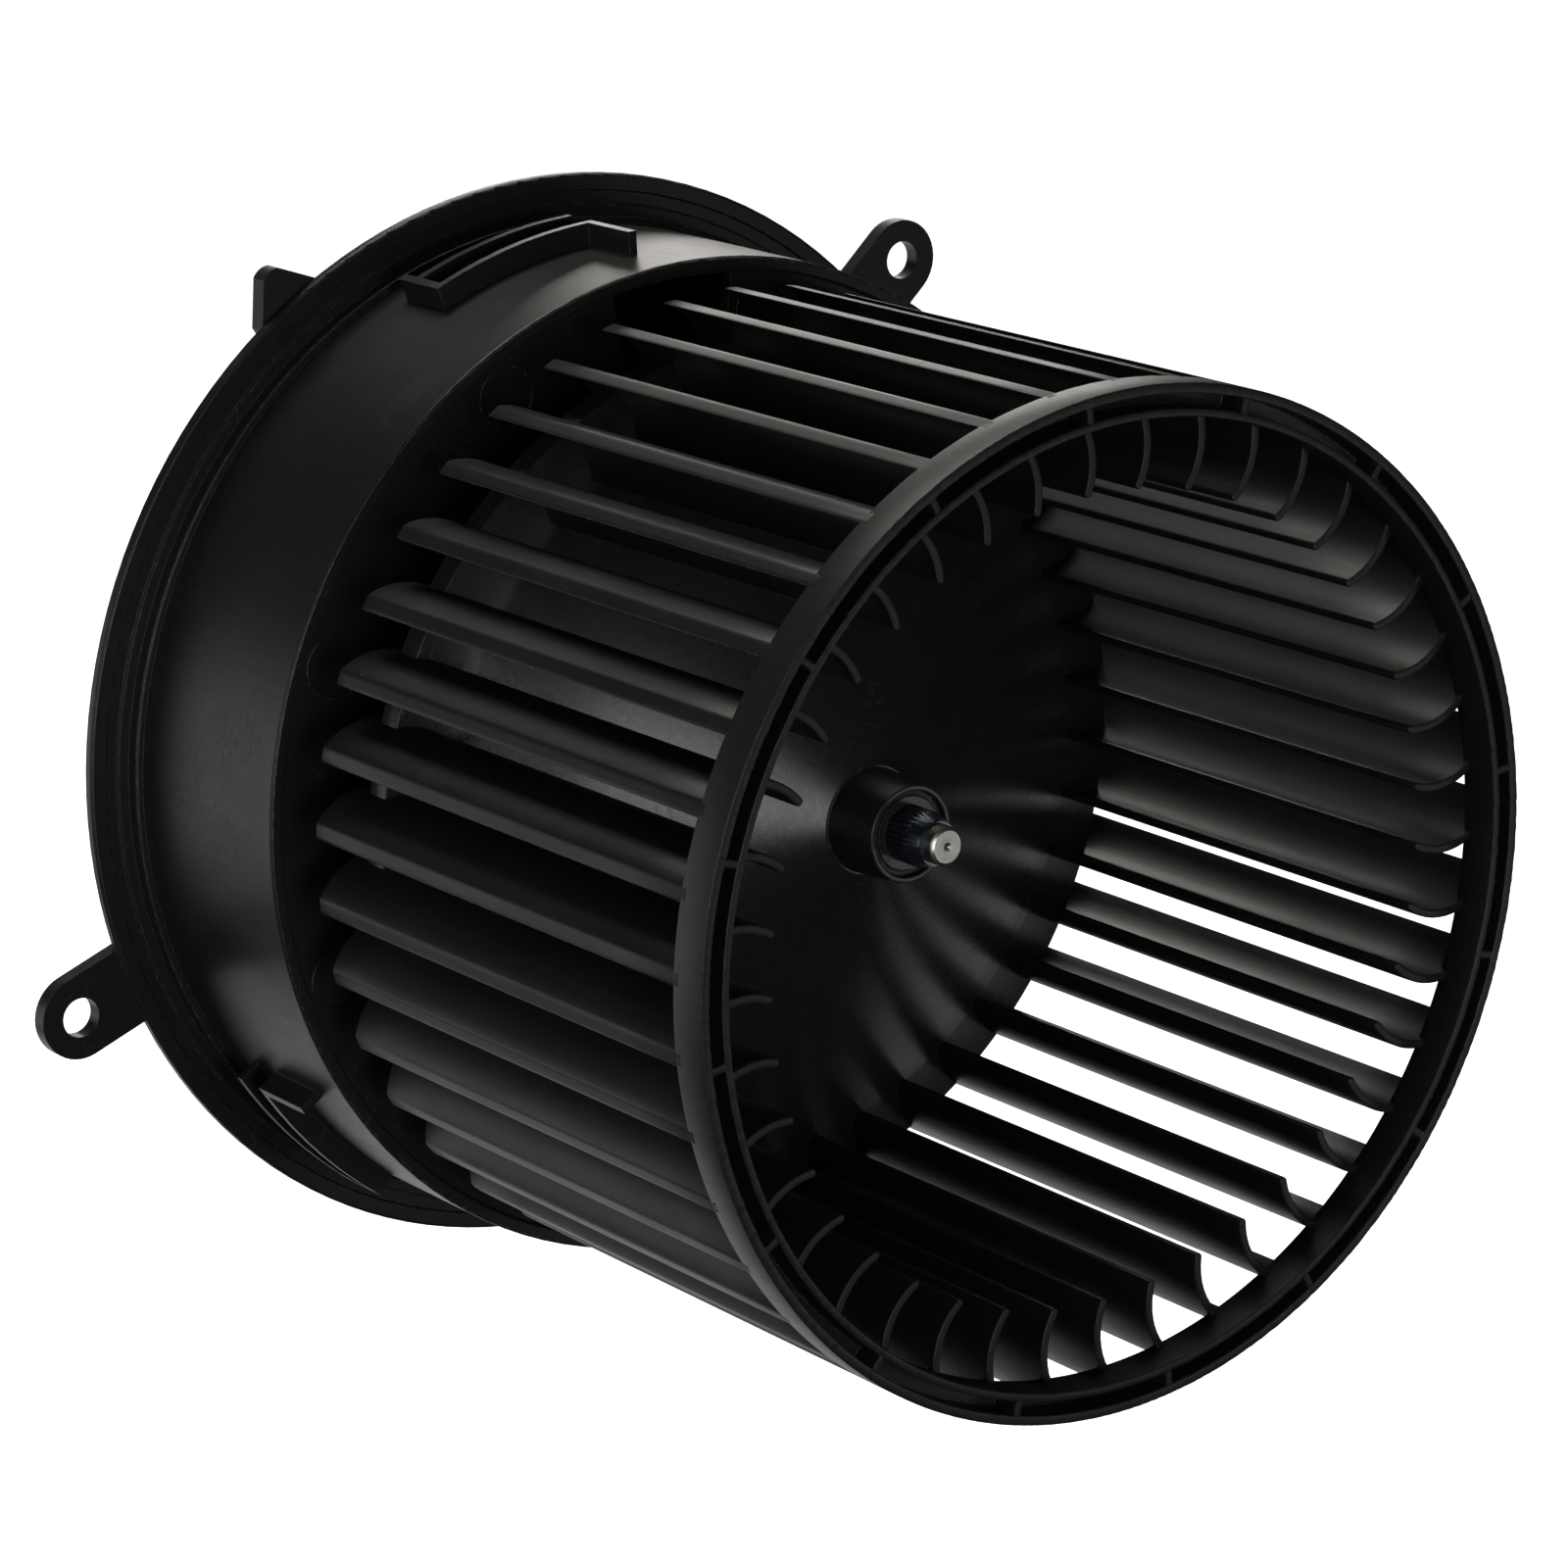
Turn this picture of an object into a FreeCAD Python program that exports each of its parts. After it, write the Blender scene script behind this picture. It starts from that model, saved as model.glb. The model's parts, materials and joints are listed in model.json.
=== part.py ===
"""Blower motor wheel: a heater fan's cage wheel, its motor and the flanged housing that carries them.

Every sub-part is drawn in one working frame whose Z axis is the shaft, with Z = 0 on the face of the
flange that seats against the air box and +Z towards the wheel's mouth.  SEAT turns that frame into the
part's own: shaft along Y, mouth towards -Y, +Z up.
"""
import FreeCAD, Part
import math
import os
import Sketcher
from FreeCAD import Placement, Rotation, Vector

SEAT = Placement(Vector(0, 0, 0), Rotation(Vector(1, 0, 0), 90))

# Driving sizes in millimetres, degrees or counts, grouped by the piece that they belong to.
DIMENSIONS = """
wheel_radius 75.0          outside radius of the wheel
wheel_length 94.8          rim front to the blades' free ends
wheel_gap 6.8              collar's lip to the blades' free ends
rim_length 6.4             depth of the double rim ring
rim_wall 1.5               thickness of the outer rim ring
rim_gap 2.1                open gap between the two rim rings
rim_floor 1.6              thickness of the floor that closes the gap at the rear
inner_ring_wall 1.2        thickness of the inner rim ring
rim_web_count 16           webs that join the two rings
rim_web_width 1.1          thickness of each web
rim_web_turn 7.0           angle of the first web
blade_count 41             blades round the cage
blade_depth 15.7           radial depth of a blade
blade_thickness 1.3        thickness of a blade
blade_curve 11.4           radius of a blade's mid line
blade_curve_x 10.4         sideways offset of the blade curve's centre
blade_curve_inset 10.3     how far inside the wheel's outside that centre lies
blade_turn 4.15            angle of the first blade at rest
blade_bite 1.3             how far a blade runs into the rim
blade_tail 4.0             how far a blade runs past the hub
hub_inset 6.4              hub disc's edge inside the wheel's outside
hub_wall 2.2               wall of the hub
cone_drop 2.46             cone's wall measured along the shaft
hub_rim_length 4.1         depth of the hub's turned edge
hub_edge_width 8.0         width of the near-flat ring outside the cone
hub_cone_rise 26.2         height of the cone from that ring to the boss
hub_cone_curve 360.0       radius of the cone's slight dome
boss_wall 2.45             wall of the boss outside its bush, where it leaves the cone
boss_draft 0.6             how much the boss narrows towards its tip
boss_length 9.8            length of the boss in front of the cone
boss_lip_width 0.9         width of the raised lip round the boss's tip
boss_lip_height 1.0        height of that lip
insert_wall 2.6            wall of the bush moulded into the boss
insert_length 15.0         length of that bush
insert_step 0.3            bush in front of the boss's recessed face
shaft_radius 3.0           motor shaft
shaft_nose 8.6             shaft in front of the boss
shaft_end_gap 0.7          shaft's rear end to the inside of the rear bearing's cap
shaft_bevel 0.45           bevel at the shaft's ends
retainer_wall 1.3          wall of the serrated push nut
retainer_lip 0.35          wall left at the nut's tip
retainer_tooth_depth 0.3   depth of a serration
retainer_length 7.0        length of the push nut
retainer_tooth_count 30    serrations round the push nut
running_gap 0.03           clearance between the shaft and each bearing bore
flange_width 7.7           flange outside the collar
flange_thickness 2.0       thickness of the flange
flange_groove_inset 4.9    flange's edge to the inside of the shallow groove in its face
flange_groove_width 2.4    width of that groove
flange_groove_depth 0.35   depth of that groove
collar_step 3.4            collar's outside beyond the wheel's
collar_wall 2.2            wall of the collar
collar_length 38.7         flange face to the collar's lip
bead_width 1.2             bead at the collar's root
bead_height 2.2            height of that bead
floor_recess 2.0           floor behind the lip
floor_wall 2.2             thickness of the floor
cup_wall 2.2               wall of the motor cup and of the cover's dome
edge_round 0.5             rounding of the moulded edges
mark_radius 4.7            ejector mark in the floor
mark_inset 6.2             ejector marks' circle inside the collar's wall
mark_turn 119.5            angle of the first mark
mark_depth 0.5             depth of a mark
mark_count 9               number of marks
window_width 11.2          cooling air window, across
window_rim 0.6             floor left between the window and the collar
window_sweep 16.8          angle that the window spans
window_turn 84.7           angle at which the window starts
port_sweep 24.0            angle of each air port in the cup's wall
port_length 10.0           height of each port
port_count 6               ports round the cup
port_drop 2.0              ports behind the floor's rear face
tab_height 3.6             height of the locating tabs above the collar
tab_rib 1.3                thickness of the tabs' ribs and ends
tab_rear_station 10.6      rear rib of a tab above the flange face
tab_front_station 16.9     front rib of a tab above the flange face
tab_long_end 28.8          where the long end plate stops
tab_short_start 7.5        where the short end plate starts
tab_turn 93.5              angle at which the first tab starts
tab_sweep 21.1             angle that a tab spans
tab_end_sweep 1.0          angle that a tab's end plate spans
ear_reach 9.3              ear holes beyond the flange's edge
ear_root 3.2               how far an ear runs into the flange
ear_half_width 6.6         half width and end radius of an ear
ear_thickness 2.6          thickness of an ear
ear_step 0.5               ear face behind the flange face
ear_hole_radius 3.1        ear hole
post_inset 5.2             screw posts' circle inside the collar's wall
post_bite 0.4              how far a post runs into the floor
post_radius 3.6            screw post
post_bore 1.5              bore of a screw post
post_turn 40.0             angle of the first post
screw_radius 1.45          cover screw's shank
screw_length 14.0          cover screw under its head
screw_head_radius 3.4      cover screw's head
screw_head_height 2.2      height of that head
screw_head_sink 0.5        how far shank and head run into each other
cover_inset 4.1            cover's edge inside the flange's
cover_wall 2.2             thickness of the rear cover
cover_hole 1.8             screw hole in the cover
cover_rib_count 12         ribs across the cover's back
cover_rib_height 3.0       height of those ribs
cover_rib_width 1.6        thickness of those ribs
cover_rib_inset 2.0        ribs' outer ends inside the cover's edge
lug_turn 123.9             angle of the cover's pointed lug
lug_reach 5.1              lug's point beyond the flange's edge
lug_half_width 6.2         half width of the lug at the flange's edge
lug_thickness 3.0          thickness of the lug
lug_root 3.0               how far the lug runs into the cover
lug_shoulder 1.0           lug's shoulder inside the flange's edge
dome_gap 1.0               rear bearing's cap to the inside of the cover's dome
socket_turn 180.0          angle of the connector
socket_inset 18.2          connector's middle inside the collar's wall
socket_width 22.0          connector across
socket_depth 15.0          connector, inner side to outer side
socket_length 20.0         connector behind the cover
socket_wall 1.5            wall of the connector
latch_height 1.4           height of the connector's latch ramp
terminal_pitch 9.0         distance between the two terminals
terminal_width 4.8         width of a terminal strip
terminal_thickness 0.8     thickness of a terminal strip
terminal_gap 0.4           room round a terminal where it passes a wall
terminal_inset 4.0         pin's tip inside the socket, and foot inside the can
terminal_port_room 1.4     room beside the terminals where they enter the cup and the can
terminal_rise 4.5          terminals' straight run above the brush card
wall_dip 3.0               how far inside a round wall's radius its terminal opening starts
can_radius 30.0            outside radius of the motor can
can_wall 1.6               wall of the motor can
can_nose 26.3              can's front end in front of the floor
can_tail 9.0               can behind the flange face
can_boss_length 6.0        length of that boss
can_vent_radius 4.0        vent hole in the can's end
can_vent_circle 18.0       radius on which the vents lie
can_vent_count 6           number of vents
can_corner 2.5             rounding of the can's front corner
bearing_wall 4.6           wall of the bearing bushes
bearing_length 7.0         length of a bearing bush
bearing_bevel 1.8          bevel of a bearing bush
bore_clearance 1.2         room round the shaft where it passes a wall
rubber_length 8.0          length of each rubber ring
rubber_front_inset 5.7     front rubber ring's middle behind the floor's front
rubber_rear_inset 13.0     rear rubber ring's middle in front of the flange's back
rubber_wall 3.6            thickness of the rubber rings
magnet_wall 6.0            thickness of a field magnet
magnet_overhang 4.0        magnets beyond each end of the armature core
magnet_sweep 136.0         angle that a magnet spans
clip_foot_sweep 2.0        angle that a magnet clip's foot spans
air_gap 0.6                gap between magnets and armature
coil_rear_gap 3.0          commutator to the coils' rear end turns
coil_front_gap 4.4         coils' front end turns to the can's inside
slot_count 12              slots, coils and commutator bars
slot_depth 10.0            depth of a slot
slot_root_width 3.4        width at the bottom of a slot
slot_top_width 6.4         width of a slot below its mouth
slot_mouth 1.8             width of a slot's mouth
slot_lip 1.2               thickness of the tooth tips
coil_overhang 8.0          how far the coils stand out of the core
coil_clearance 3.0         shaft to the inside of the end turns
coil_gap 0.15              insulation between coil and core
bar_depth 3.5              commutator bars, inside to brush track
sleeve_wall 4.0            wall of the commutator's sleeve
commutator_gap 3.5         can's rear end to the commutator
commutator_length 13.5     length of the commutator
riser_height 1.5           height of the bars' hooks
riser_length 2.0           length of the bars' hooks
bar_gap 3.0                angle between neighbouring bars
washer_width 2.5           thrust washers beyond the shaft
washer_wall 0.7            thickness of a thrust washer
washer_play 0.15           end play at each thrust washer
plate_wall 2.0             thickness of the motor's end plate
plate_boss_length 6.5      rear bearing boss on the end plate
plate_spigot 1.0           how far the end plate's rim and bearing stand into the can
card_wall 2.0              thickness of the brush card
card_inset 2.5             brush card in front of the can's rear end
card_gap 2.5               brush card's hole beyond the commutator
brush_width 5.0            brush across
brush_height 6.0           brush along the shaft
brush_gap 0.05             gap between brush face and commutator
brush_side_gap 0.1         gap between brush and tube
tube_wall 0.5              wall of the brush tubes
tube_inner_gap 2.1         commutator to the brush tubes' inner ends
tube_outer_gap 1.6         brush tubes' outer ends to the can's wall
spring_radius 1.9          mid radius of a brush spring
spring_wire 0.5            wire of a brush spring
spring_turns 5.0           turns of a brush spring
spring_room 7.25           brush's back to its tube's end
spring_rest_gap 0.05       room at each end of a brush spring
choke_inset 9.4            chokes inside the can's wall
choke_radius 3.2           outside radius of a choke's winding
choke_core_radius 1.6      ferrite rod of a choke
choke_length 9.0           length of a choke's winding
choke_core_length 11.0     length of a choke's rod
capacitor_inset 8.4        capacitor inside the can's wall
capacitor_turn 42.0        angle at which it stands
capacitor_radius 3.4       radius of the capacitor
capacitor_thickness 2.4    thickness of the capacitor
"""
EAR_ANGLES = (201.2, 43.2, 302.2)
POST_COUNT = 3
TAB_COUNT = 3
TOUCH = 1e-3
CUT_PAST = 1.0  # how far a cut runs past the wall that it opens


class Size:
    """A number that keeps the spreadsheet formula it was worked out with."""

    def __init__(self, value, formula):
        self.value = float(value)
        self.formula = formula

    def _with(self, other, value, sign, swap=False):
        left, right = (size(other), self) if swap else (self, size(other))
        return Size(value(left.value, right.value), "(%s %s %s)" % (left.formula, sign, right.formula))

    def __add__(self, other):
        return self._with(other, lambda a, b: a + b, "+")

    def __radd__(self, other):
        return self._with(other, lambda a, b: a + b, "+", swap=True)

    def __sub__(self, other):
        return self._with(other, lambda a, b: a - b, "-")

    def __rsub__(self, other):
        return self._with(other, lambda a, b: a - b, "-", swap=True)

    def __mul__(self, other):
        return self._with(other, lambda a, b: a * b, "*")

    def __rmul__(self, other):
        return self._with(other, lambda a, b: a * b, "*", swap=True)

    def __truediv__(self, other):
        return self._with(other, lambda a, b: a / b, "/")

    def __rtruediv__(self, other):
        return self._with(other, lambda a, b: a / b, "/", swap=True)

    def __neg__(self):
        return 0 - self


def size(number):
    return number if isinstance(number, Size) else Size(number, "%g" % number)


def fill_sheet(document):
    """Write every driving size into the spreadsheet and hand them back by name."""
    sheet = document.addObject("Spreadsheet::Sheet", "sizes")
    found = {}
    lines = [line for line in DIMENSIONS.splitlines() if line.strip()]
    for row, line in enumerate(lines, start=1):
        name, number, meaning = line.split(None, 2)
        sheet.set("A%d" % row, name)
        sheet.set("B%d" % row, number)
        sheet.set("C%d" % row, meaning)
        sheet.setAlias("B%d" % row, name)
        found[name] = Size(number, "sizes." + name)
    document.recompute()
    return found


doc = FreeCAD.newDocument("blower_motor_wheel")
D = type("Dimensions", (), fill_sheet(doc))
made = []


def bind(thing, path, number):
    """Tie a property to its spreadsheet formula."""
    thing.setExpression(path, size(number).formula)


def new_body(name, placement=SEAT):
    body = doc.addObject("PartDesign::Body", name)
    body.Label = name
    body.AllowCompound = True
    body.Placement = placement
    return body


def origin_feature(body, role):
    return [item for item in body.Origin.OriginFeatures if item.Role == role][0]


def new_sketch(body, name, plane, offset=0, turn=0):
    """A sketch on an origin plane; turn is about the shaft's axis and offset is along the plane's normal."""
    sketch = body.newObject("Sketcher::SketchObject", name)
    sketch.AttachmentSupport = [(origin_feature(body, plane + "_Plane"), "")]
    sketch.MapMode = "FlatFace"
    spin_axis = Vector(0, 0, 1) if plane == "XY" else Vector(0, 1, 0)
    offset, turn = size(offset), size(turn)
    spin = Rotation(spin_axis, turn.value)
    sketch.AttachmentOffset = Placement(spin.multVec(Vector(0, 0, offset.value)), spin)
    if plane == "XY":
        bind(sketch, "AttachmentOffset.Base.z", offset)
    return sketch


def arc_middle(start, end, radius):
    """Middle of the short arc from start to end; a positive radius bulges to the right of the way there."""
    chord = end - start
    half = chord.Length / 2
    rise = abs(radius) - math.sqrt(max(radius * radius - half * half, 0))
    side = Vector(chord.y, -chord.x, 0).normalize() * (rise if radius > 0 else -rise)
    return (start + end) * 0.5 + side


def add_outline(sketch, points):
    """A closed outline through points (x, y) or (x, y, r), where r bends the edge that arrives there."""
    points = [tuple(size(number) for number in point) for point in points]
    corners = [Vector(point[0].value, point[1].value, 0) for point in points]
    first = sketch.GeometryCount
    count = len(points)
    for i in range(count):
        after = (i + 1) % count
        if len(points[after]) == 3:
            middle = arc_middle(corners[i], corners[after], points[after][2].value)
            arc = Part.Arc(corners[i], middle, corners[after])
            sketch.addGeometry(arc, False)
        else:
            sketch.addGeometry(Part.LineSegment(corners[i], corners[after]), False)
    ends = [corner_end(sketch, first + i, corners[i]) for i in range(count)]
    for i in range(count):
        before = (i - 1) % count
        far = 3 - ends[before]
        sketch.addConstraint(Sketcher.Constraint("Coincident", first + before, far, first + i, ends[i]))
    for i, point in enumerate(points):
        for kind, number in (("DistanceX", point[0]), ("DistanceY", point[1])):
            index = sketch.addConstraint(Sketcher.Constraint(kind, first + i, ends[i], number.value))
            bind(sketch, "Constraints[%d]" % index, number)
        if len(point) == 3:
            before = (i - 1) % count
            radius = point[2] if point[2].value > 0 else -point[2]
            index = sketch.addConstraint(Sketcher.Constraint("Radius", first + before, radius.value))
            bind(sketch, "Constraints[%d]" % index, radius)


def corner_end(sketch, geometry, corner):
    """Which end of an edge, 1 or 2, lies on the corner."""
    start = sketch.getPoint(geometry, 1)
    end = sketch.getPoint(geometry, 2)
    return 1 if (start - corner).Length <= (end - corner).Length else 2


def add_circle(sketch, x, y, radius):
    x, y, radius = size(x), size(y), size(radius)
    centre = Vector(x.value, y.value, 0)
    index = sketch.addGeometry(Part.Circle(centre, Vector(0, 0, 1), radius.value), False)
    for kind, number in (("DistanceX", x), ("DistanceY", y)):
        place = sketch.addConstraint(Sketcher.Constraint(kind, index, 3, number.value))
        bind(sketch, "Constraints[%d]" % place, number)
    place = sketch.addConstraint(Sketcher.Constraint("Radius", index, radius.value))
    bind(sketch, "Constraints[%d]" % place, radius)


def box_points(x_low, x_high, y_low, y_high):
    return [(x_low, y_low), (x_high, y_low), (x_high, y_high), (x_low, y_high)]


def turned(body, name, points, start=0, sweep=360, cut=False):
    """Turn an outline of (radius, station) about the shaft's axis, as material or as a cut."""
    sketch = new_sketch(body, name + "_outline", "XZ", turn=start)
    add_outline(sketch, points)
    kind = "PartDesign::Groove" if cut else "PartDesign::Revolution"
    feature = body.newObject(kind, name)
    feature.Profile = sketch
    feature.ReferenceAxis = (sketch, ["V_Axis"])
    feature.Angle = size(sweep).value
    bind(feature, "Angle", sweep)
    return finish_feature(body, feature, cut)


def raised(body, name, draw, start, length, turn=0):
    """Pad what draw puts into a sketch, from station start towards the mouth."""
    sketch = new_sketch(body, name + "_outline", "XY", start, turn)
    draw(sketch)
    feature = body.newObject("PartDesign::Pad", name)
    feature.Profile = sketch
    feature.Length = size(length).value
    bind(feature, "Length", length)
    return finish_feature(body, feature, False)


def sunk(body, name, draw, top, depth, turn=0):
    """Pocket what draw puts into a sketch, from station top towards the rear."""
    sketch = new_sketch(body, name + "_outline", "XY", top, turn)
    draw(sketch)
    feature = body.newObject("PartDesign::Pocket", name)
    feature.Profile = sketch
    feature.Length = size(depth).value
    bind(feature, "Length", depth)
    return finish_feature(body, feature, True)


def finish_feature(body, feature, cut):
    """Work a feature out, and stop if a cut took nothing away."""
    before = body.Tip.Shape.Volume if cut and body.Tip != feature else None
    doc.recompute()
    body.Tip = feature
    if cut:
        base = feature.BaseFeature.Shape.Volume if before is None else before
        if feature.Shape.Volume > base - TOUCH:
            raise ValueError(feature.Name + " cut nothing")
    return feature


def around(body, name, features, count):
    """Repeat features evenly about the shaft's axis."""
    pattern = body.newObject("PartDesign::PolarPattern", name)
    pattern.Originals = features
    pattern.Axis = (origin_feature(body, "Z_Axis"), [""])
    pattern.Angle = 360
    pattern.Occurrences = int(round(size(count).value))
    bind(pattern, "Occurrences", count)
    doc.recompute()
    body.Tip = pattern
    return pattern


def softened(body, name, radius, circles):
    """Round the circular edges found at the given (radius, station) places."""
    wanted = [(size(r).value, size(z).value) for r, z in circles]
    names = []
    for number, edge in enumerate(body.Tip.Shape.Edges, start=1):
        if not isinstance(edge.Curve, Part.Circle):
            continue
        centre = edge.Curve.Center
        if math.hypot(centre.x, centre.y) > TOUCH:
            continue
        if any(abs(edge.Curve.Radius - r) < TOUCH and abs(centre.z - z) < TOUCH for r, z in wanted):
            names.append("Edge%d" % number)
    fillet = body.newObject("PartDesign::Fillet", name)
    fillet.Base = (body.Tip if body.Tip != fillet else fillet.BaseFeature, names)
    fillet.Radius = size(radius).value
    bind(fillet, "Radius", radius)
    doc.recompute()
    body.Tip = fillet
    return fillet


def keep(piece):
    """Put a finished sub-part on the list of those that are written out."""
    doc.recompute()
    made.append(piece)
    return piece


def cut_away(name, base, tool):
    """One sub-part with another one's space taken out of it."""
    result = doc.addObject("Part::Cut", name)
    result.Label = name
    result.Base = base
    result.Tool = tool
    base.Label = name + "_blank"
    return keep(result)


# Stations along the shaft and radii that several pieces share.
blade_back = D.collar_length + D.wheel_gap
rim_front = blade_back + D.wheel_length
rim_back = rim_front - D.rim_length
inner_ring_outer = D.wheel_radius - D.rim_wall - D.rim_gap
inner_ring_inner = inner_ring_outer - D.inner_ring_wall
blade_front = rim_back + D.blade_bite
hub_radius = D.wheel_radius - D.hub_inset
hub_back = blade_back + D.blade_tail
hub_edge = hub_back + D.hub_rim_length
cone_foot_radius = hub_radius - D.hub_edge_width
cone_foot = hub_edge + D.hub_wall / 3
insert_radius = D.shaft_radius + D.insert_wall
boss_radius = insert_radius + D.boss_wall
boss_root = cone_foot + D.hub_cone_rise
boss_tip = boss_root + D.boss_length
boss_tip_radius = boss_radius - D.boss_draft
boss_recess = boss_tip - D.boss_lip_height
insert_face = boss_recess + D.insert_step
insert_back = insert_face - D.insert_length
shaft_tip = boss_tip + D.shaft_nose
flange_back = -D.flange_thickness
collar_radius = D.wheel_radius + D.collar_step
collar_inner = collar_radius - D.collar_wall
flange_radius = collar_radius + D.flange_width
ear_circle = flange_radius + D.ear_reach
post_circle = collar_inner - D.post_inset
floor_front = D.collar_length - D.floor_recess
floor_back = floor_front - D.floor_wall
cup_inner = D.can_radius + D.rubber_wall
cup_outer = cup_inner + D.cup_wall
cover_back = flange_back - D.cover_wall
cover_radius = flange_radius - D.cover_inset
bearing_radius = D.shaft_radius + D.bearing_wall
can_boss_radius = bearing_radius + D.can_wall
can_inner = D.can_radius - D.can_wall
can_rear = -D.can_tail
can_front = floor_front + D.can_nose
can_bore = D.shaft_radius + D.bore_clearance
cap_rear = can_rear - D.plate_wall - D.plate_boss_length
cap_inside = cap_rear + D.plate_spigot
shaft_tail = cap_inside + D.shaft_end_gap
dome_inside = cap_rear - D.dome_gap
dome_back = dome_inside - D.cup_wall
commutator_inner = D.shaft_radius + D.sleeve_wall
commutator_radius = commutator_inner + D.bar_depth
commutator_rear = can_rear + D.commutator_gap
commutator_front = commutator_rear + D.commutator_length
armature_radius = can_inner - D.magnet_wall - D.air_gap
core_rear = commutator_front + D.coil_rear_gap + D.coil_overhang
core_front = can_front - D.can_wall - D.coil_front_gap - D.coil_overhang
core_length = core_front - core_rear
magnet_rear = core_rear - D.magnet_overhang
magnet_front = core_front + D.magnet_overhang
slot_bottom = armature_radius - D.slot_depth
boss_front = can_front + D.can_boss_length
front_bearing = boss_front - D.can_wall - D.bearing_length
rear_bearing = can_rear + D.plate_spigot - D.bearing_length
card_rear = can_rear + D.card_inset
card_front = card_rear + D.card_wall
tube_half_height = D.brush_height / 2 + D.brush_side_gap + D.tube_wall
tube_half_width = D.brush_width / 2 + D.brush_side_gap + D.tube_wall
tube_start = commutator_radius + D.tube_inner_gap
tube_end = can_inner - D.tube_outer_gap
brush_station = card_front + tube_half_height
brush_face = commutator_radius + D.brush_gap
brush_back = tube_end - D.spring_room
socket_circle = collar_inner - D.socket_inset
socket_back = cover_back - D.socket_length
terminal_run = card_front + D.terminal_rise
terminal_port_top = terminal_run + D.terminal_thickness / 2 + D.terminal_gap
terminal_port_half = (D.terminal_pitch + D.terminal_width) / 2 + D.terminal_port_room


def make_blades():
    """Forty-one curved blades, each an arc in section, with a rounded inner edge."""
    body = new_body("wheel_blades")
    sketch = new_sketch(body, "blade_section", "XY", blade_back, turn=-D.blade_turn)
    centre = Vector(-D.blade_curve_x.value, (D.wheel_radius - D.blade_curve_inset).value, 0)
    half = D.blade_thickness.value / 2
    outside = D.wheel_radius.value
    inner_tip = meeting_angle(centre, D.blade_curve.value, outside - D.blade_depth.value + half)
    normal = Vector(0, 0, 1)
    circles = []
    for radius in (D.blade_curve.value + half, D.blade_curve.value - half):
        outer_tip = meeting_angle(centre, radius, outside)
        arc = Part.ArcOfCircle(Part.Circle(centre, normal, radius), inner_tip, outer_tip)
        circles.append((sketch.addGeometry(arc, False), outer_tip, radius))
    nose_centre = centre + Vector(math.cos(inner_tip), math.sin(inner_tip), 0) * D.blade_curve.value
    nose = Part.Circle(nose_centre, normal, half)
    nose_arc = Part.ArcOfCircle(nose, inner_tip + math.pi, inner_tip + 2 * math.pi)
    nose_edge = sketch.addGeometry(nose_arc, False)
    tips = [centre + Vector(math.cos(a), math.sin(a), 0) * r for _, a, r in circles]
    spread = sorted(math.atan2(tip.y, tip.x) for tip in tips)
    rim = Part.Circle(Vector(0, 0, 0), normal, outside)
    rim_edge = sketch.addGeometry(Part.ArcOfCircle(rim, *spread), False)
    outer_arc, inner_arc = circles[0][0], circles[1][0]
    rules = (
        ("DistanceX", (outer_arc, 3), -D.blade_curve_x),
        ("DistanceY", (outer_arc, 3), D.wheel_radius - D.blade_curve_inset),
        ("Radius", (outer_arc,), D.blade_curve + D.blade_thickness / 2),
        ("Radius", (inner_arc,), D.blade_curve - D.blade_thickness / 2),
        ("Radius", (rim_edge,), D.wheel_radius),
        ("Distance", (-1, 1, nose_edge, 3), D.wheel_radius - D.blade_depth + D.blade_thickness / 2),
    )
    ties = (
        ("Coincident", (inner_arc, 3, outer_arc, 3)),
        ("Coincident", (rim_edge, 3, -1, 1)),
        ("Tangent", (nose_edge, 2, outer_arc, 1)),
        ("Tangent", (nose_edge, 1, inner_arc, 1)),
        ("Coincident", (rim_edge, 1, outer_arc, 2)),
        ("Coincident", (rim_edge, 2, inner_arc, 2)),
    )
    for kind, where in ties:
        sketch.addConstraint(Sketcher.Constraint(kind, *where))
    for kind, where, number in rules:
        index = sketch.addConstraint(Sketcher.Constraint(kind, *where, number.value))
        bind(sketch, "Constraints[%d]" % index, number)
    blade = body.newObject("PartDesign::Pad", "blade")
    blade.Profile = sketch
    blade.Length = (blade_front - blade_back).value
    bind(blade, "Length", blade_front - blade_back)
    finish_feature(body, blade, False)
    around(body, "blades", [blade], D.blade_count)
    return keep(body)


def meeting_angle(centre, radius, distance):
    """Angle on a circle at which, going outwards, it reaches the given distance from the shaft's axis."""
    span = math.hypot(centre.x, centre.y)
    cosine = (distance ** 2 - span ** 2 - radius ** 2) / (2 * span * radius)
    return math.atan2(centre.y, centre.x) - math.acos(cosine)


def make_rim(blades):
    """Two rings joined by webs and by a floor at the rear, slotted where the blades run into them."""
    body = new_body("rim_blank")
    turned(body, "outer_ring", box_points(D.wheel_radius - D.rim_wall, D.wheel_radius, rim_back, rim_front))
    between = inner_ring_outer - D.inner_ring_wall / 2, D.wheel_radius - D.rim_wall / 2
    turned(body, "gap_floor", box_points(*between, rim_back, rim_back + D.rim_floor))
    web = box_points(*between, -D.rim_web_width / 2, D.rim_web_width / 2)
    first = raised(body, "web", lambda s: add_outline(s, web), rim_back, D.rim_length, turn=D.rim_web_turn)
    around(body, "webs", [first], D.rim_web_count)
    turned(body, "inner_ring", box_points(inner_ring_inner, inner_ring_outer, rim_back, rim_front))
    return cut_away("wheel_rim", body, blades)


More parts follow.
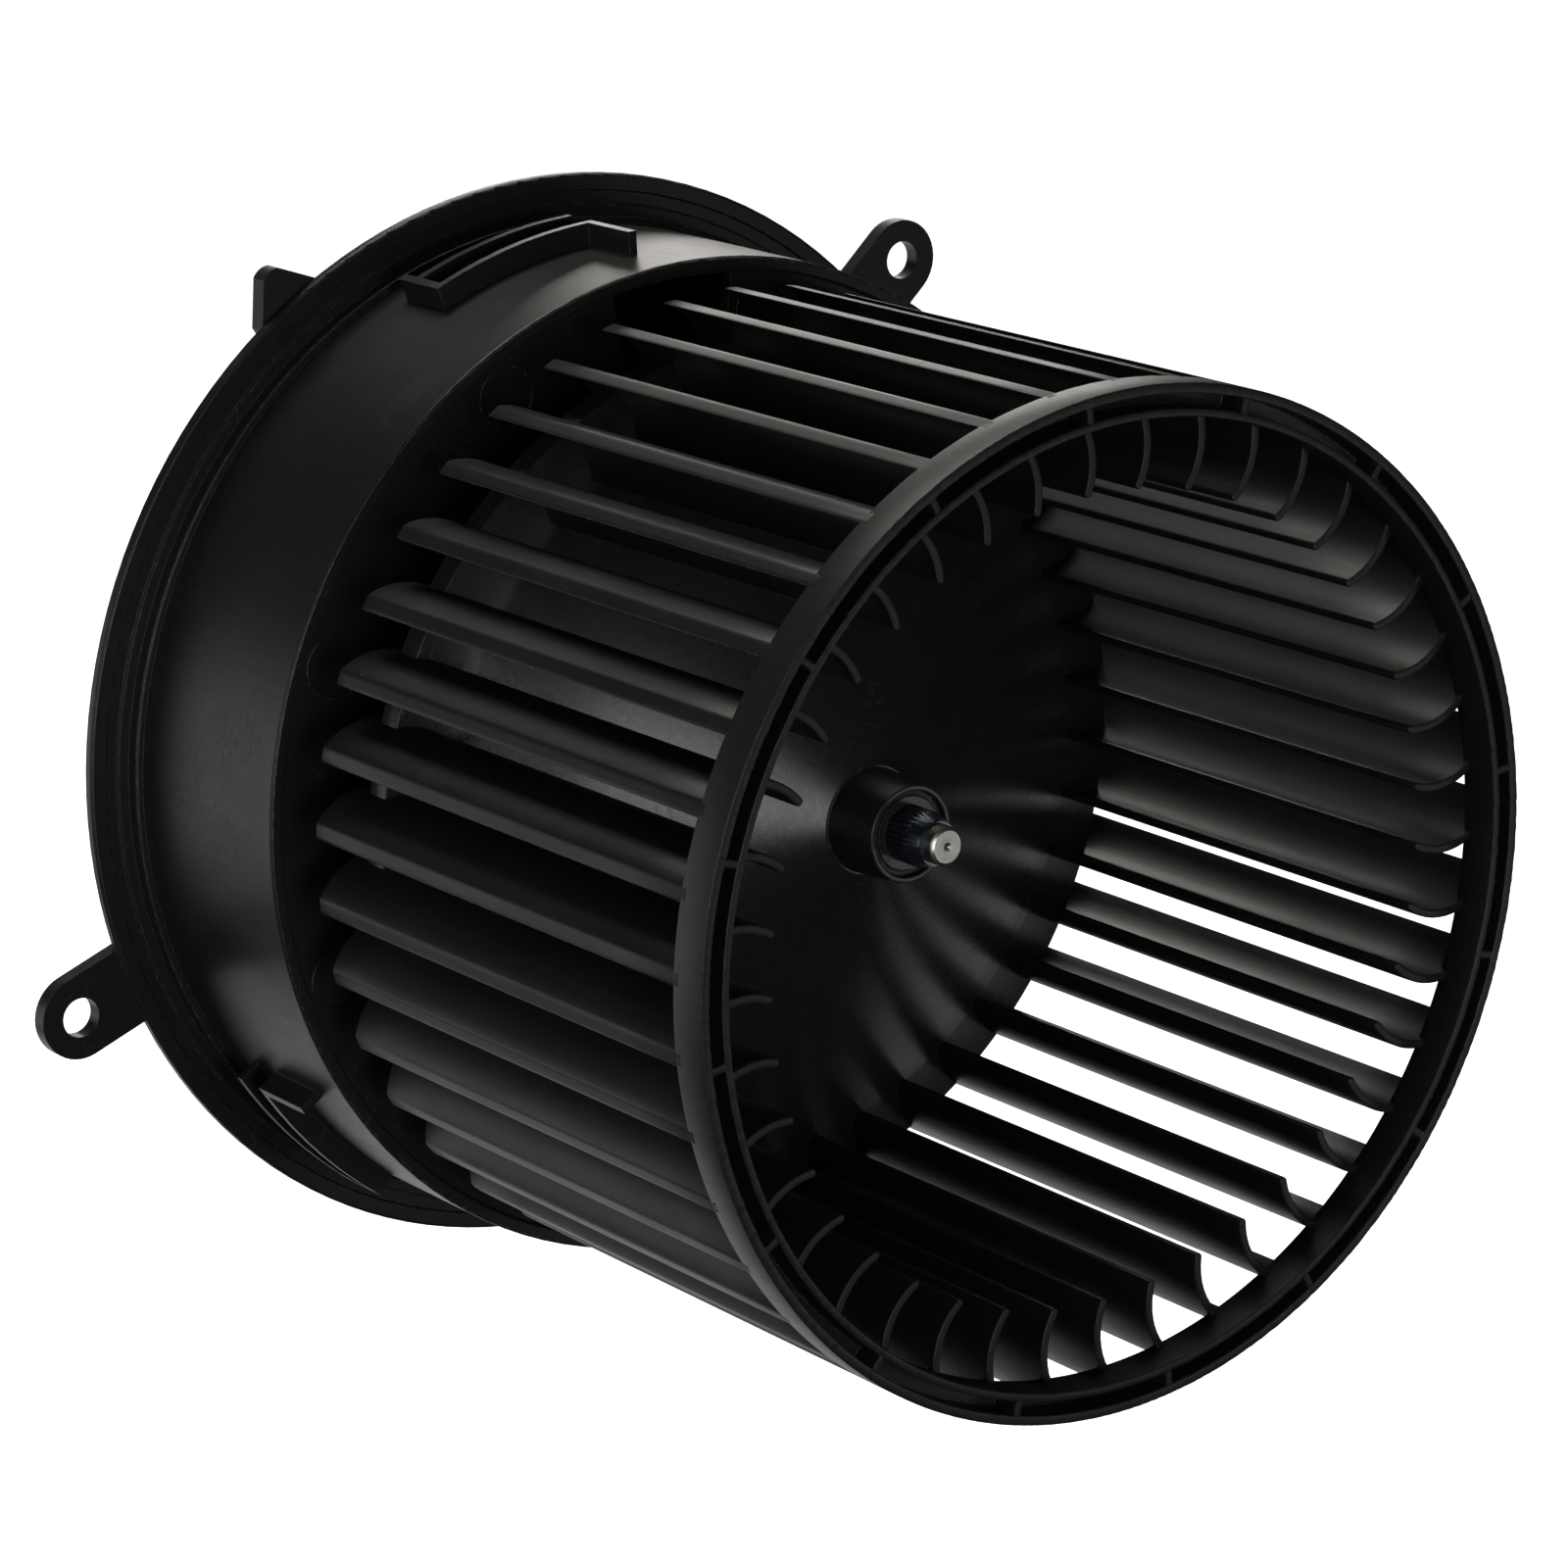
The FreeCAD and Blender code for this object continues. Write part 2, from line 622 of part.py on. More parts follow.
def make_hub(blades):
    """A shallow cone with a boss, a near-flat edge ring and a turned-back outer edge."""
    body = new_body("hub_blank")
    lip_inner = boss_tip_radius - D.boss_lip_width
    turned(body, "hub_shell", [
        (hub_radius, hub_back),
        (hub_radius, hub_edge),
        (cone_foot_radius, cone_foot),
        (boss_radius, boss_root, D.hub_cone_curve),
        (boss_tip_radius, boss_tip),
        (lip_inner, boss_tip),
        (lip_inner, boss_recess),
        (insert_radius, boss_recess),
        (insert_radius, insert_back),
        (boss_radius, insert_back),
        (boss_radius, boss_root - D.cone_drop),
        (cone_foot_radius - D.hub_wall / 4, cone_foot - D.cone_drop, -(D.hub_cone_curve - D.hub_wall)),
        (hub_radius - D.hub_wall, hub_edge - D.hub_wall),
        (hub_radius - D.hub_wall, hub_back),
    ])
    return cut_away("wheel_hub", body, blades)


def make_shaft_group():
    """Shaft, the bush that the hub turns with, and the serrated nut that holds the hub on."""
    shaft = new_body("motor_shaft")
    tail = shaft_tail
    bevel = D.shaft_bevel
    turned(shaft, "shaft_rod", [
        (0, tail), (D.shaft_radius - bevel, tail), (D.shaft_radius, tail + bevel),
        (D.shaft_radius, shaft_tip - bevel), (D.shaft_radius - bevel, shaft_tip), (0, shaft_tip)])
    keep(shaft)
    insert = new_body("hub_insert")
    turned(insert, "insert_bush",
           box_points(D.shaft_radius, insert_radius, insert_back, insert_face))
    keep(insert)
    nut = new_body("shaft_retainer")
    nut_tip = insert_face + D.retainer_length
    nut_radius = D.shaft_radius + D.retainer_wall
    turned(nut, "nut_cone", [
        (D.shaft_radius, insert_face), (nut_radius, insert_face),
        (nut_radius, nut_tip - D.retainer_length / 3),
        (D.shaft_radius + D.retainer_lip, nut_tip), (D.shaft_radius, nut_tip)])
    depth = D.retainer_tooth_depth
    outside = nut_radius + depth
    notch = [(nut_radius - depth, 0), (outside, -depth), (outside, depth)]
    first = sunk(nut, "serration", lambda s: add_outline(s, notch), nut_tip, D.retainer_length)
    around(nut, "serrations", [first], D.retainer_tooth_count)
    keep(nut)


def make_armature():
    """Slotted core, its coils, the commutator and the thrust washers, all fixed on the shaft."""
    core = new_body("armature_core")

    def disc(sketch):
        add_circle(sketch, 0, 0, armature_radius)
        add_circle(sketch, 0, 0, D.shaft_radius)

    def slot(gap):
        shoulder = armature_radius - D.slot_lip
        root, top, mouth = D.slot_root_width / 2 - gap, D.slot_top_width / 2 - gap, D.slot_mouth / 2
        points = [(slot_bottom + gap, -root), (shoulder - gap, -top)]
        if gap == 0:
            outside = armature_radius + CUT_PAST
            points += [(shoulder, -mouth), (outside, -mouth), (outside, mouth), (shoulder, mouth)]
        return points + [(shoulder - gap, top), (slot_bottom + gap, root)]

    raised(core, "stack", disc, core_rear, core_length)
    first = sunk(core, "slot", lambda s: add_outline(s, slot(0)), core_front, core_length)
    around(core, "slots", [first], D.slot_count)
    keep(core)

    coils = new_body("armature_coils")
    reach = armature_radius - D.slot_lip - D.coil_gap
    inner = D.shaft_radius + D.coil_clearance
    rear = core_rear - D.coil_overhang
    front = core_front + D.coil_overhang
    bevel = D.coil_overhang / 4
    gap = D.coil_gap
    turned(coils, "rear_turns", [
        (inner, rear + bevel), (inner + bevel, rear), (reach - bevel, rear),
        (reach, rear + bevel), (reach, core_rear - gap), (inner, core_rear - gap)])
    in_slot = slot(D.coil_gap)
    first = raised(coils, "coil_side", lambda s: add_outline(s, in_slot),
                   rear + bevel, front - rear - 2 * bevel)
    around(coils, "coil_sides", [first], D.slot_count)
    turned(coils, "front_turns", [
        (inner, core_front + gap), (reach, core_front + gap), (reach, front - bevel),
        (reach - bevel, front), (inner + bevel, front), (inner, front - bevel)])
    keep(coils)

    bars = new_body("commutator_bars")
    sweep = 360 / D.slot_count - D.bar_gap
    hook = commutator_front - D.riser_length
    hook_radius = commutator_radius + D.riser_height
    bar = turned(bars, "bar", [
        (commutator_inner, commutator_rear), (commutator_radius, commutator_rear),
        (commutator_radius, hook), (hook_radius, hook), (hook_radius, commutator_front),
        (commutator_inner, commutator_front)], sweep=sweep)
    around(bars, "bars", [bar], D.slot_count)
    keep(bars)

    sleeve = new_body("commutator_sleeve")
    turned(sleeve, "sleeve",
           box_points(D.shaft_radius, commutator_inner, commutator_rear, commutator_front))
    keep(sleeve)

    washers = new_body("thrust_washers")
    washer_radius = D.shaft_radius + D.washer_width
    for name, low in (("front_washer", front_bearing - D.washer_play - D.washer_wall),
                      ("rear_washer", rear_bearing + D.bearing_length + D.washer_play)):
        turned(washers, name, box_points(D.shaft_radius, washer_radius, low, low + D.washer_wall))
    keep(washers)


def make_housing():
    """Flange, collar, floor and motor cup in one moulding, with its tabs, ears and screw posts."""
    body = new_body("flange_housing")
    groove_inner = flange_radius - D.flange_groove_inset
    groove_outer = groove_inner + D.flange_groove_width
    bead_radius = collar_radius + D.bead_width
    turned(body, "shell", [
        (flange_radius, flange_back),
        (flange_radius, 0),
        (groove_outer, 0),
        (groove_outer - D.flange_groove_depth, -D.flange_groove_depth),
        (groove_inner + D.flange_groove_depth, -D.flange_groove_depth),
        (groove_inner, 0),
        (bead_radius, 0),
        (bead_radius, D.bead_height),
        (collar_radius, D.bead_height),
        (collar_radius, D.collar_length),
        (collar_inner, D.collar_length),
        (collar_inner, floor_front),
        (cup_inner, floor_front),
        (cup_inner, flange_back),
        (cup_outer, flange_back),
        (cup_outer, floor_back),
        (collar_inner, floor_back),
        (collar_inner, flange_back),
    ])
    softened(body, "soft_edges", D.edge_round, [
        (flange_radius, 0), (flange_radius, flange_back), (bead_radius, D.bead_height),
        (collar_radius, D.collar_length), (collar_inner, D.collar_length), (cup_inner, floor_front)])
    turned(body, "air_window",
           box_points(collar_inner - D.window_width, collar_inner - D.window_rim,
                      floor_back - CUT_PAST, floor_front + CUT_PAST),
           start=D.window_turn, sweep=D.window_sweep, cut=True)
    port_top = floor_back - D.port_drop
    port = turned(body, "air_port",
                  box_points(cup_inner - CUT_PAST, cup_outer + CUT_PAST, port_top - D.port_length, port_top),
                  sweep=D.port_sweep, cut=True)
    around(body, "air_ports", [port], D.port_count)
    sunk(body, "terminal_port", lambda s: add_outline(s, terminal_opening(cup_inner, cup_outer)),
         terminal_port_top, terminal_port_top - flange_back + CUT_PAST, turn=D.socket_turn)
    mark = sunk(body, "ejector_mark", lambda s: add_circle(s, collar_inner - D.mark_inset, 0, D.mark_radius),
                floor_front, D.mark_depth, turn=D.mark_turn)
    around(body, "ejector_marks", [mark], D.mark_count)
    foot = collar_radius - D.collar_wall / 2
    top = collar_radius + D.tab_height
    far_turn = D.tab_turn + D.tab_sweep - D.tab_end_sweep
    front_edge = D.tab_front_station + D.tab_rib
    walls = (
        ("tab_rear_rib", D.tab_rear_station, D.tab_rear_station + D.tab_rib, D.tab_turn, D.tab_sweep),
        ("tab_front_rib", D.tab_front_station, front_edge, D.tab_turn, D.tab_sweep),
        ("tab_long_end", D.tab_front_station, D.tab_long_end, D.tab_turn, D.tab_end_sweep),
        ("tab_short_end", D.tab_short_start, front_edge, far_turn, D.tab_end_sweep),
    )
    tab = [turned(body, name, box_points(foot, top, low, high), start=start, sweep=sweep)
           for name, low, high, start, sweep in walls]
    around(body, "tabs", tab, TAB_COUNT)
    root = flange_radius - D.ear_root
    ear = [(root, -D.ear_half_width), (ear_circle, -D.ear_half_width),
           (ear_circle + D.ear_half_width, 0, D.ear_half_width),
           (ear_circle, D.ear_half_width, D.ear_half_width), (root, D.ear_half_width)]

    def ear_outline(sketch):
        add_outline(sketch, ear)
        add_circle(sketch, ear_circle, 0, D.ear_hole_radius)

    for number, angle in enumerate(EAR_ANGLES, start=1):
        raised(body, "ear_%d" % number, ear_outline, -D.ear_step - D.ear_thickness, D.ear_thickness,
               turn=angle)

    def post_outline(sketch):
        add_circle(sketch, post_circle, 0, D.post_radius)
        add_circle(sketch, post_circle, 0, D.post_bore)

    post = raised(body, "screw_post", post_outline, flange_back, floor_back - flange_back + D.post_bite,
                  turn=D.post_turn)
    around(body, "screw_posts", [post], POST_COUNT)
    keep(body)


def terminal_opening(inner, outer):
    """Outline of the opening through which both terminals pass a round wall."""
    return box_points(inner - D.wall_dip, outer + CUT_PAST, -terminal_port_half, terminal_port_half)


def terminal_slots(gap, side):
    """Outline of the hole or of the section of one terminal, about the connector's middle."""
    half = D.terminal_width / 2 + gap
    thick = D.terminal_thickness / 2 + gap
    middle = side * D.terminal_pitch / 2
    return box_points(socket_circle - thick, socket_circle + thick, middle - half, middle + half)


def make_cover_group():
    """Rear cover with its dome, ribs and lug, the screws that hold it and the connector on its back."""
    cover = new_body("rear_cover")
    turned(cover, "cover_shell", [
        (0, dome_back), (cup_outer, dome_back), (cup_outer, cover_back), (cover_radius, cover_back),
        (cover_radius, flange_back), (cup_inner, flange_back), (cup_inner, dome_inside),
        (0, dome_inside)])
    softened(cover, "dome_round", D.cup_wall, [(cup_outer, dome_back)])
    rib = box_points(cup_outer - D.cup_wall / 2, cover_radius - D.cover_rib_inset,
                     -D.cover_rib_width / 2, D.cover_rib_width / 2)
    first = raised(cover, "back_rib", lambda s: add_outline(s, rib), cover_back - D.cover_rib_height,
                   D.cover_rib_height + D.cover_wall / 2, turn=D.socket_turn + 180 / D.cover_rib_count)
    around(cover, "back_ribs", [first], D.cover_rib_count)
    hole = sunk(cover, "screw_hole", lambda s: add_circle(s, post_circle, 0, D.cover_hole),
                flange_back, D.cover_wall + D.cover_rib_height, turn=D.post_turn)
    around(cover, "screw_holes", [hole], POST_COUNT)
    tip_half = D.lug_half_width / 4
    bend = D.lug_half_width / 2
    root = cover_radius - D.lug_root
    shoulder = flange_radius - D.lug_shoulder
    tip = flange_radius + D.lug_reach
    lug = [(root, -D.lug_half_width), (shoulder, -D.lug_half_width), (tip, -tip_half),
           (tip, tip_half, bend), (shoulder, D.lug_half_width), (root, D.lug_half_width)]
    raised(cover, "pointed_lug", lambda s: add_outline(s, lug),
           flange_back - D.lug_thickness, D.lug_thickness, turn=D.lug_turn)
    for side in (-1, 1):
        sunk(cover, "terminal_hole_%d" % (side + 2),
             lambda s, side=side: add_outline(s, terminal_slots(D.terminal_gap, side)),
             flange_back, D.cover_wall, turn=D.socket_turn)
    keep(cover)

    screws = new_body("cover_screws")
    head_back = cover_back - D.screw_head_height
    shank = raised(screws, "shank", lambda s: add_circle(s, post_circle, 0, D.screw_radius),
                   cover_back - D.screw_head_sink, D.screw_length, turn=D.post_turn)
    head = raised(screws, "head", lambda s: add_circle(s, post_circle, 0, D.screw_head_radius),
                  head_back, D.screw_head_height, turn=D.post_turn)
    cross = box_points(post_circle - D.screw_head_radius / 2, post_circle + D.screw_head_radius / 2,
                       -D.screw_radius / 4, D.screw_radius / 4)
    slot_depth = D.screw_head_height / 2
    drive = sunk(screws, "drive_slot", lambda s: add_outline(s, cross), head_back + slot_depth, slot_depth,
                 turn=D.post_turn)
    around(screws, "screws", [shank, head, drive], POST_COUNT)
    keep(screws)

    socket = new_body("connector_housing")
    inner, outer = socket_circle - D.socket_depth / 2, socket_circle + D.socket_depth / 2
    half = D.socket_width / 2
    wall = D.socket_wall
    raised(socket, "socket_block", lambda s: add_outline(s, box_points(inner, outer, -half, half)),
           socket_back, D.socket_length, turn=D.socket_turn)
    mouth = box_points(inner + wall, outer - wall, -half + wall, half - wall)
    sunk(socket, "socket_mouth", lambda s: add_outline(s, mouth), cover_back - 2 * wall,
         D.socket_length - 2 * wall, turn=D.socket_turn)
    for side in (-1, 1):
        sunk(socket, "terminal_slot_%d" % (side + 2),
             lambda s, side=side: add_outline(s, terminal_slots(0, side)),
             cover_back, 2 * wall, turn=D.socket_turn)
    key = box_points(outer - wall / 2, outer + D.latch_height, -half / 4, half / 4)
    raised(socket, "latch_ramp", lambda s: add_outline(s, key), socket_back + D.socket_length / 3,
           D.socket_length / 5, turn=D.socket_turn)
    keep(socket)

    for name, side in (("terminal_left", -1), ("terminal_right", 1)):
        make_terminal(name, side)


def make_terminal(name, side):
    """A strip bent in two places: connector pin, run through the cup and the can, foot on the brush card."""
    strip = new_body(name)
    thick = D.terminal_thickness
    pin = socket_circle - thick / 2
    foot = can_inner - D.terminal_inset
    tip = socket_back + D.terminal_inset
    front, rear = terminal_run + thick / 2, terminal_run - thick / 2
    path = [(pin, tip), (pin + thick, tip), (pin + thick, front), (foot - thick, front),
            (foot - thick, card_front), (foot, card_front), (foot, rear), (pin, rear)]
    sketch = new_sketch(strip, name + "_section", "XZ", side * D.terminal_pitch / 2, D.socket_turn)
    add_outline(sketch, path)
    pad = strip.newObject("PartDesign::Pad", name + "_strip")
    pad.Profile = sketch
    pad.Length = D.terminal_width.value
    pad.Midplane = True
    bind(pad, "Length", D.terminal_width)
    finish_feature(strip, pad, False)
    keep(strip)


def make_motor_case():
    """Steel can, its end plate, the bearings, the magnets and the rubber rings that carry the motor."""
    can = new_body("motor_can")
    turned(can, "can_shell", [
        (D.can_radius, can_rear), (D.can_radius, can_front), (can_boss_radius, can_front),
        (can_boss_radius, boss_front), (can_bore, boss_front), (can_bore, boss_front - D.can_wall),
        (bearing_radius, boss_front - D.can_wall), (bearing_radius, can_front - D.can_wall),
        (can_inner, can_front - D.can_wall), (can_inner, can_rear)])
    softened(can, "can_round", D.can_corner, [(D.can_radius, can_front)])
    sunk(can, "terminal_port", lambda s: add_outline(s, terminal_opening(can_inner, D.can_radius)),
         terminal_port_top, D.terminal_thickness + 2 * D.terminal_gap, turn=D.socket_turn)
    vent = sunk(can, "vent", lambda s: add_circle(s, D.can_vent_circle, 0, D.can_vent_radius),
                can_front, D.can_wall)
    around(can, "vents", [vent], D.can_vent_count)
    keep(can)

    plate = new_body("end_plate")
    plate_rear = can_rear - D.plate_wall
    turned(plate, "plate_shell", [
        (0, cap_rear), (can_boss_radius, cap_rear), (can_boss_radius, plate_rear),
        (D.can_radius, plate_rear), (D.can_radius, can_rear), (can_inner, can_rear),
        (can_inner, can_rear + D.plate_spigot), (can_inner - D.can_wall, can_rear + D.plate_spigot),
        (can_inner - D.can_wall, can_rear), (bearing_radius, can_rear),
        (bearing_radius, cap_inside), (0, cap_inside)])
    keep(plate)

    for name, low in (("bearing_front", front_bearing), ("bearing_rear", rear_bearing)):
        bearing = new_body(name)
        bore = D.shaft_radius + D.running_gap
        top = low + D.bearing_length
        bevel = D.bearing_bevel
        turned(bearing, name + "_bush", [
            (bore, low), (bearing_radius - bevel, low), (bearing_radius, low + bevel),
            (bearing_radius, top - bevel), (bearing_radius - bevel, top), (bore, top)])
        keep(bearing)

    for name, turn in (("magnet_left", 180 - D.magnet_sweep / 2), ("magnet_right", -D.magnet_sweep / 2)):
        magnet = new_body(name)
        turned(magnet, name + "_arc",
               box_points(can_inner - D.magnet_wall, can_inner, magnet_rear, magnet_front),
               start=turn, sweep=D.magnet_sweep)
        keep(magnet)

    clips = new_body("magnet_clips")
    room = 180 - D.magnet_sweep
    thin = can_inner - D.can_wall / 2
    for name, turn in (("upper_clip", 90 - room / 2), ("lower_clip", 270 - room / 2)):
        turned(clips, name, box_points(thin, can_inner, magnet_rear, magnet_front), start=turn, sweep=room)
        for end, foot in (("start", turn), ("stop", turn + room - D.clip_foot_sweep)):
            turned(clips, "%s_%s" % (name, end),
                   box_points(can_inner - D.magnet_wall, can_inner, magnet_rear, magnet_front),
                   start=foot, sweep=D.clip_foot_sweep)
    keep(clips)

    for name, middle in (("rubber_ring_front", floor_front - D.rubber_front_inset),
                         ("rubber_ring_rear", flange_back + D.rubber_rear_inset)):
        ring = new_body(name)
        low = middle - D.rubber_length / 2
        turned(ring, name + "_band", box_points(D.can_radius, cup_inner, low, low + D.rubber_length))
        keep(ring)


def make_brush_gear():
    """Brush card with its tubes, the two brushes and their springs, and the noise suppression parts."""
    card = new_body("brush_card")

    def card_outline(sketch):
        add_circle(sketch, 0, 0, can_inner)
        add_circle(sketch, 0, 0, commutator_radius + D.card_gap)

    raised(card, "card_disc", card_outline, card_rear, D.card_wall)
    keep(card)

    tubes = new_body("brush_tubes")
    low, high = brush_station - tube_half_height, brush_station + tube_half_height
    for name, sign in (("upper_tube", 1), ("lower_tube", -1)):
        inner, outer = sign * tube_start, sign * tube_end
        bottom, top = (inner, outer) if sign > 0 else (outer, inner)
        raised(tubes, name, lambda s, b=bottom, t=top: add_outline(
            s, box_points(-tube_half_width, tube_half_width, b, t)), low, 2 * tube_half_height)
        hollow_end = sign * (tube_end - D.tube_wall)
        past = inner - sign * CUT_PAST
        bottom, top = (past, hollow_end) if sign > 0 else (hollow_end, past)
        sunk(tubes, name + "_bore", lambda s, b=bottom, t=top: add_outline(
            s, box_points(-tube_half_width + D.tube_wall, tube_half_width - D.tube_wall, b, t)),
            high - D.tube_wall, 2 * (tube_half_height - D.tube_wall))
    keep(tubes)

    for name, half_turn in (("brush_upper", 0), ("brush_lower", 180)):
        place = SEAT.multiply(Placement(Vector(0, 0, 0), Rotation(Vector(0, 0, 1), half_turn)))
        brush = new_body(name, place)
        raised(brush, name + "_block", lambda s: add_outline(
            s, box_points(-D.brush_width / 2, D.brush_width / 2, brush_face - CUT_PAST, brush_back)),
            brush_station - D.brush_height / 2, D.brush_height)
        sunk(brush, name + "_face", lambda s: add_circle(s, 0, 0, brush_face),
             brush_station + D.brush_height / 2, D.brush_height)
        keep(brush)

        spring = doc.addObject("Part::Feature", name.replace("brush", "brush_spring"))
        spring.Label = spring.Name
        spring.Shape = coil_spring()
        spring.Placement = place.multiply(spring.Placement)
        keep(spring)

    cores = new_body("choke_cores")
    coils = new_body("choke_coils")
    for name, side in (("left", -1), ("right", 1)):
        x = side * (can_inner - D.choke_inset)
        raised(cores, name + "_core", lambda s, x=x: add_circle(s, x, 0, D.choke_core_radius),
               card_front, D.choke_core_length)

        def winding(sketch, x=x):
            add_circle(sketch, x, 0, D.choke_radius)
            add_circle(sketch, x, 0, D.choke_core_radius)

        raised(coils, name + "_winding", winding, card_front, D.choke_length)
    keep(cores)
    keep(coils)

    capacitor = new_body("capacitor")
    half = D.capacitor_thickness / 2
    middle = can_inner - D.capacitor_inset
    raised(capacitor, "capacitor_body", lambda s: add_outline(
        s, box_points(middle - half, middle + half, -D.capacitor_radius, D.capacitor_radius)),
        card_front, 2 * D.capacitor_radius, turn=D.capacitor_turn)
    keep(capacitor)


def coil_spring():
    """A round wire carried along a helix between the brush's back and the tube's end."""
    wire = D.spring_wire.value
    gap = D.spring_rest_gap.value + wire / 2
    start = brush_back.value + gap
    length = (tube_end - D.tube_wall).value - gap - start
    helix = Part.makeHelix(length / D.spring_turns.value, length, D.spring_radius.value)
    section = Part.Wire([Part.makeCircle(wire / 2, Vector(D.spring_radius.value, 0, 0), Vector(0, 1, 0))])
    coil = Part.Wire(helix).makePipeShell([section], True, True)
    coil.rotate(Vector(0, 0, 0), Vector(1, 0, 0), -90)
    coil.translate(Vector(0, start, brush_station.value))
    return coil


def check_model():
    """Stop if any object failed to build or any sub-part isn't a sound solid."""
    for item in doc.Objects:
        if {"Invalid", "Error"} & set(item.State):
            raise ValueError("%s is %s" % (item.Name, item.State))
    for piece in made:
        shape = piece.Shape
        if shape.isNull() or not shape.isValid() or not shape.Solids:
            raise ValueError(piece.Label + " has no sound solid")


blades = make_blades()
make_rim(blades)
make_hub(blades)
make_shaft_group()
make_armature()
make_housing()
make_cover_group()
make_motor_case()
make_brush_gear()
doc.recompute()
check_model()
os.makedirs("parts", exist_ok=True)
for piece in made:
    piece.Shape.exportStep(os.path.join("parts", piece.Label + ".step"))
    print("%-20s %2d solids %10.1f mm3" % (piece.Label, len(piece.Shape.Solids), piece.Shape.Volume))
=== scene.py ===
import json
import math

import bmesh
import bpy
import numpy as np
from bpy.props import FloatProperty, FloatVectorProperty, IntProperty, PointerProperty
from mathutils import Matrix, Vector


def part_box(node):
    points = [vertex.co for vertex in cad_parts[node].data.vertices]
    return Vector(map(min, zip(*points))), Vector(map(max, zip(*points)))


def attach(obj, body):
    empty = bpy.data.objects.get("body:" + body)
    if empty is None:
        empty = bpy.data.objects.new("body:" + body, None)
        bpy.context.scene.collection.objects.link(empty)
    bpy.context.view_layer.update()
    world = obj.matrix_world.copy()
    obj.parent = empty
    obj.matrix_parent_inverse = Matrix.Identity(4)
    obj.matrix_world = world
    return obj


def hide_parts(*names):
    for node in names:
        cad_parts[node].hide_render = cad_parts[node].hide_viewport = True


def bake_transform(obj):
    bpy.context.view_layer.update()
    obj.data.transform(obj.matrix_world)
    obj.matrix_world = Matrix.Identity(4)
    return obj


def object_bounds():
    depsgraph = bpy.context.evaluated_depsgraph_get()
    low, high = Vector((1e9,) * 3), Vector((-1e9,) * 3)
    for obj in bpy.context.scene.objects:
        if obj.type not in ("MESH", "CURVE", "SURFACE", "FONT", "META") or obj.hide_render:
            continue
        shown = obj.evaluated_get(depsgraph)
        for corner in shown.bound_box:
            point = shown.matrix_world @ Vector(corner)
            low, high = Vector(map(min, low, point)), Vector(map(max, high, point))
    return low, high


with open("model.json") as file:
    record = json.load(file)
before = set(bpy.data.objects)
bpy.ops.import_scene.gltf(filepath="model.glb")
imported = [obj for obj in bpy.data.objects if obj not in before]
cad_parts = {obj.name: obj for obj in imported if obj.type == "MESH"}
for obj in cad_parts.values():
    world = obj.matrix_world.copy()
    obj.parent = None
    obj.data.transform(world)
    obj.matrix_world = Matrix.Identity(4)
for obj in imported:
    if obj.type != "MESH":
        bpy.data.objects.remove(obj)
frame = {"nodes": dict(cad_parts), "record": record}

bl_info = {
    "name": "Blower Wheel Finisher",
    "version": (1, 0, 0),
    "blender": (4, 5, 0),
    "location": "View3D > Sidebar > Blower",
    "description": "Finished surfaces and materials for a heater blower on its packed frame",
    "category": "Mesh",
}

CAD_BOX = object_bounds()
MM = 0.001
TURN = 2 * math.pi
SHARP = math.radians(35)  # edges that turn more than this stay crisp
ARC_STEPS = 4  # points on the arc that rounds a corner
END_POINTS = 9  # points across a blade's outer end, and round its nose
TOWARDS_MOUTH = np.array([0.0, -1.0, 0.0])


def far_radius(node):
    """How far a node reaches from the shaft's axis, measured along X and Z."""
    low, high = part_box(node)
    return max(high.x, high.z, -low.x, -low.z)


def stations(node):
    """Rear and front station of a node along the shaft, from the flange face towards the mouth."""
    low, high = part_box(node)
    return -high.y, -low.y


# ---------------------------------------------------------------- sizes and finishes a user would change


def length(name, value, description):
    return FloatProperty(name=name, description=description, default=value * MM, min=0.0,
                         unit="LENGTH", precision=5)


def turned_by(name, degrees, description):
    return FloatProperty(name=name, description=description, default=math.radians(degrees), subtype="ANGLE")


def number_of(name, value, description, least):
    return IntProperty(name=name, description=description, default=value, min=least)


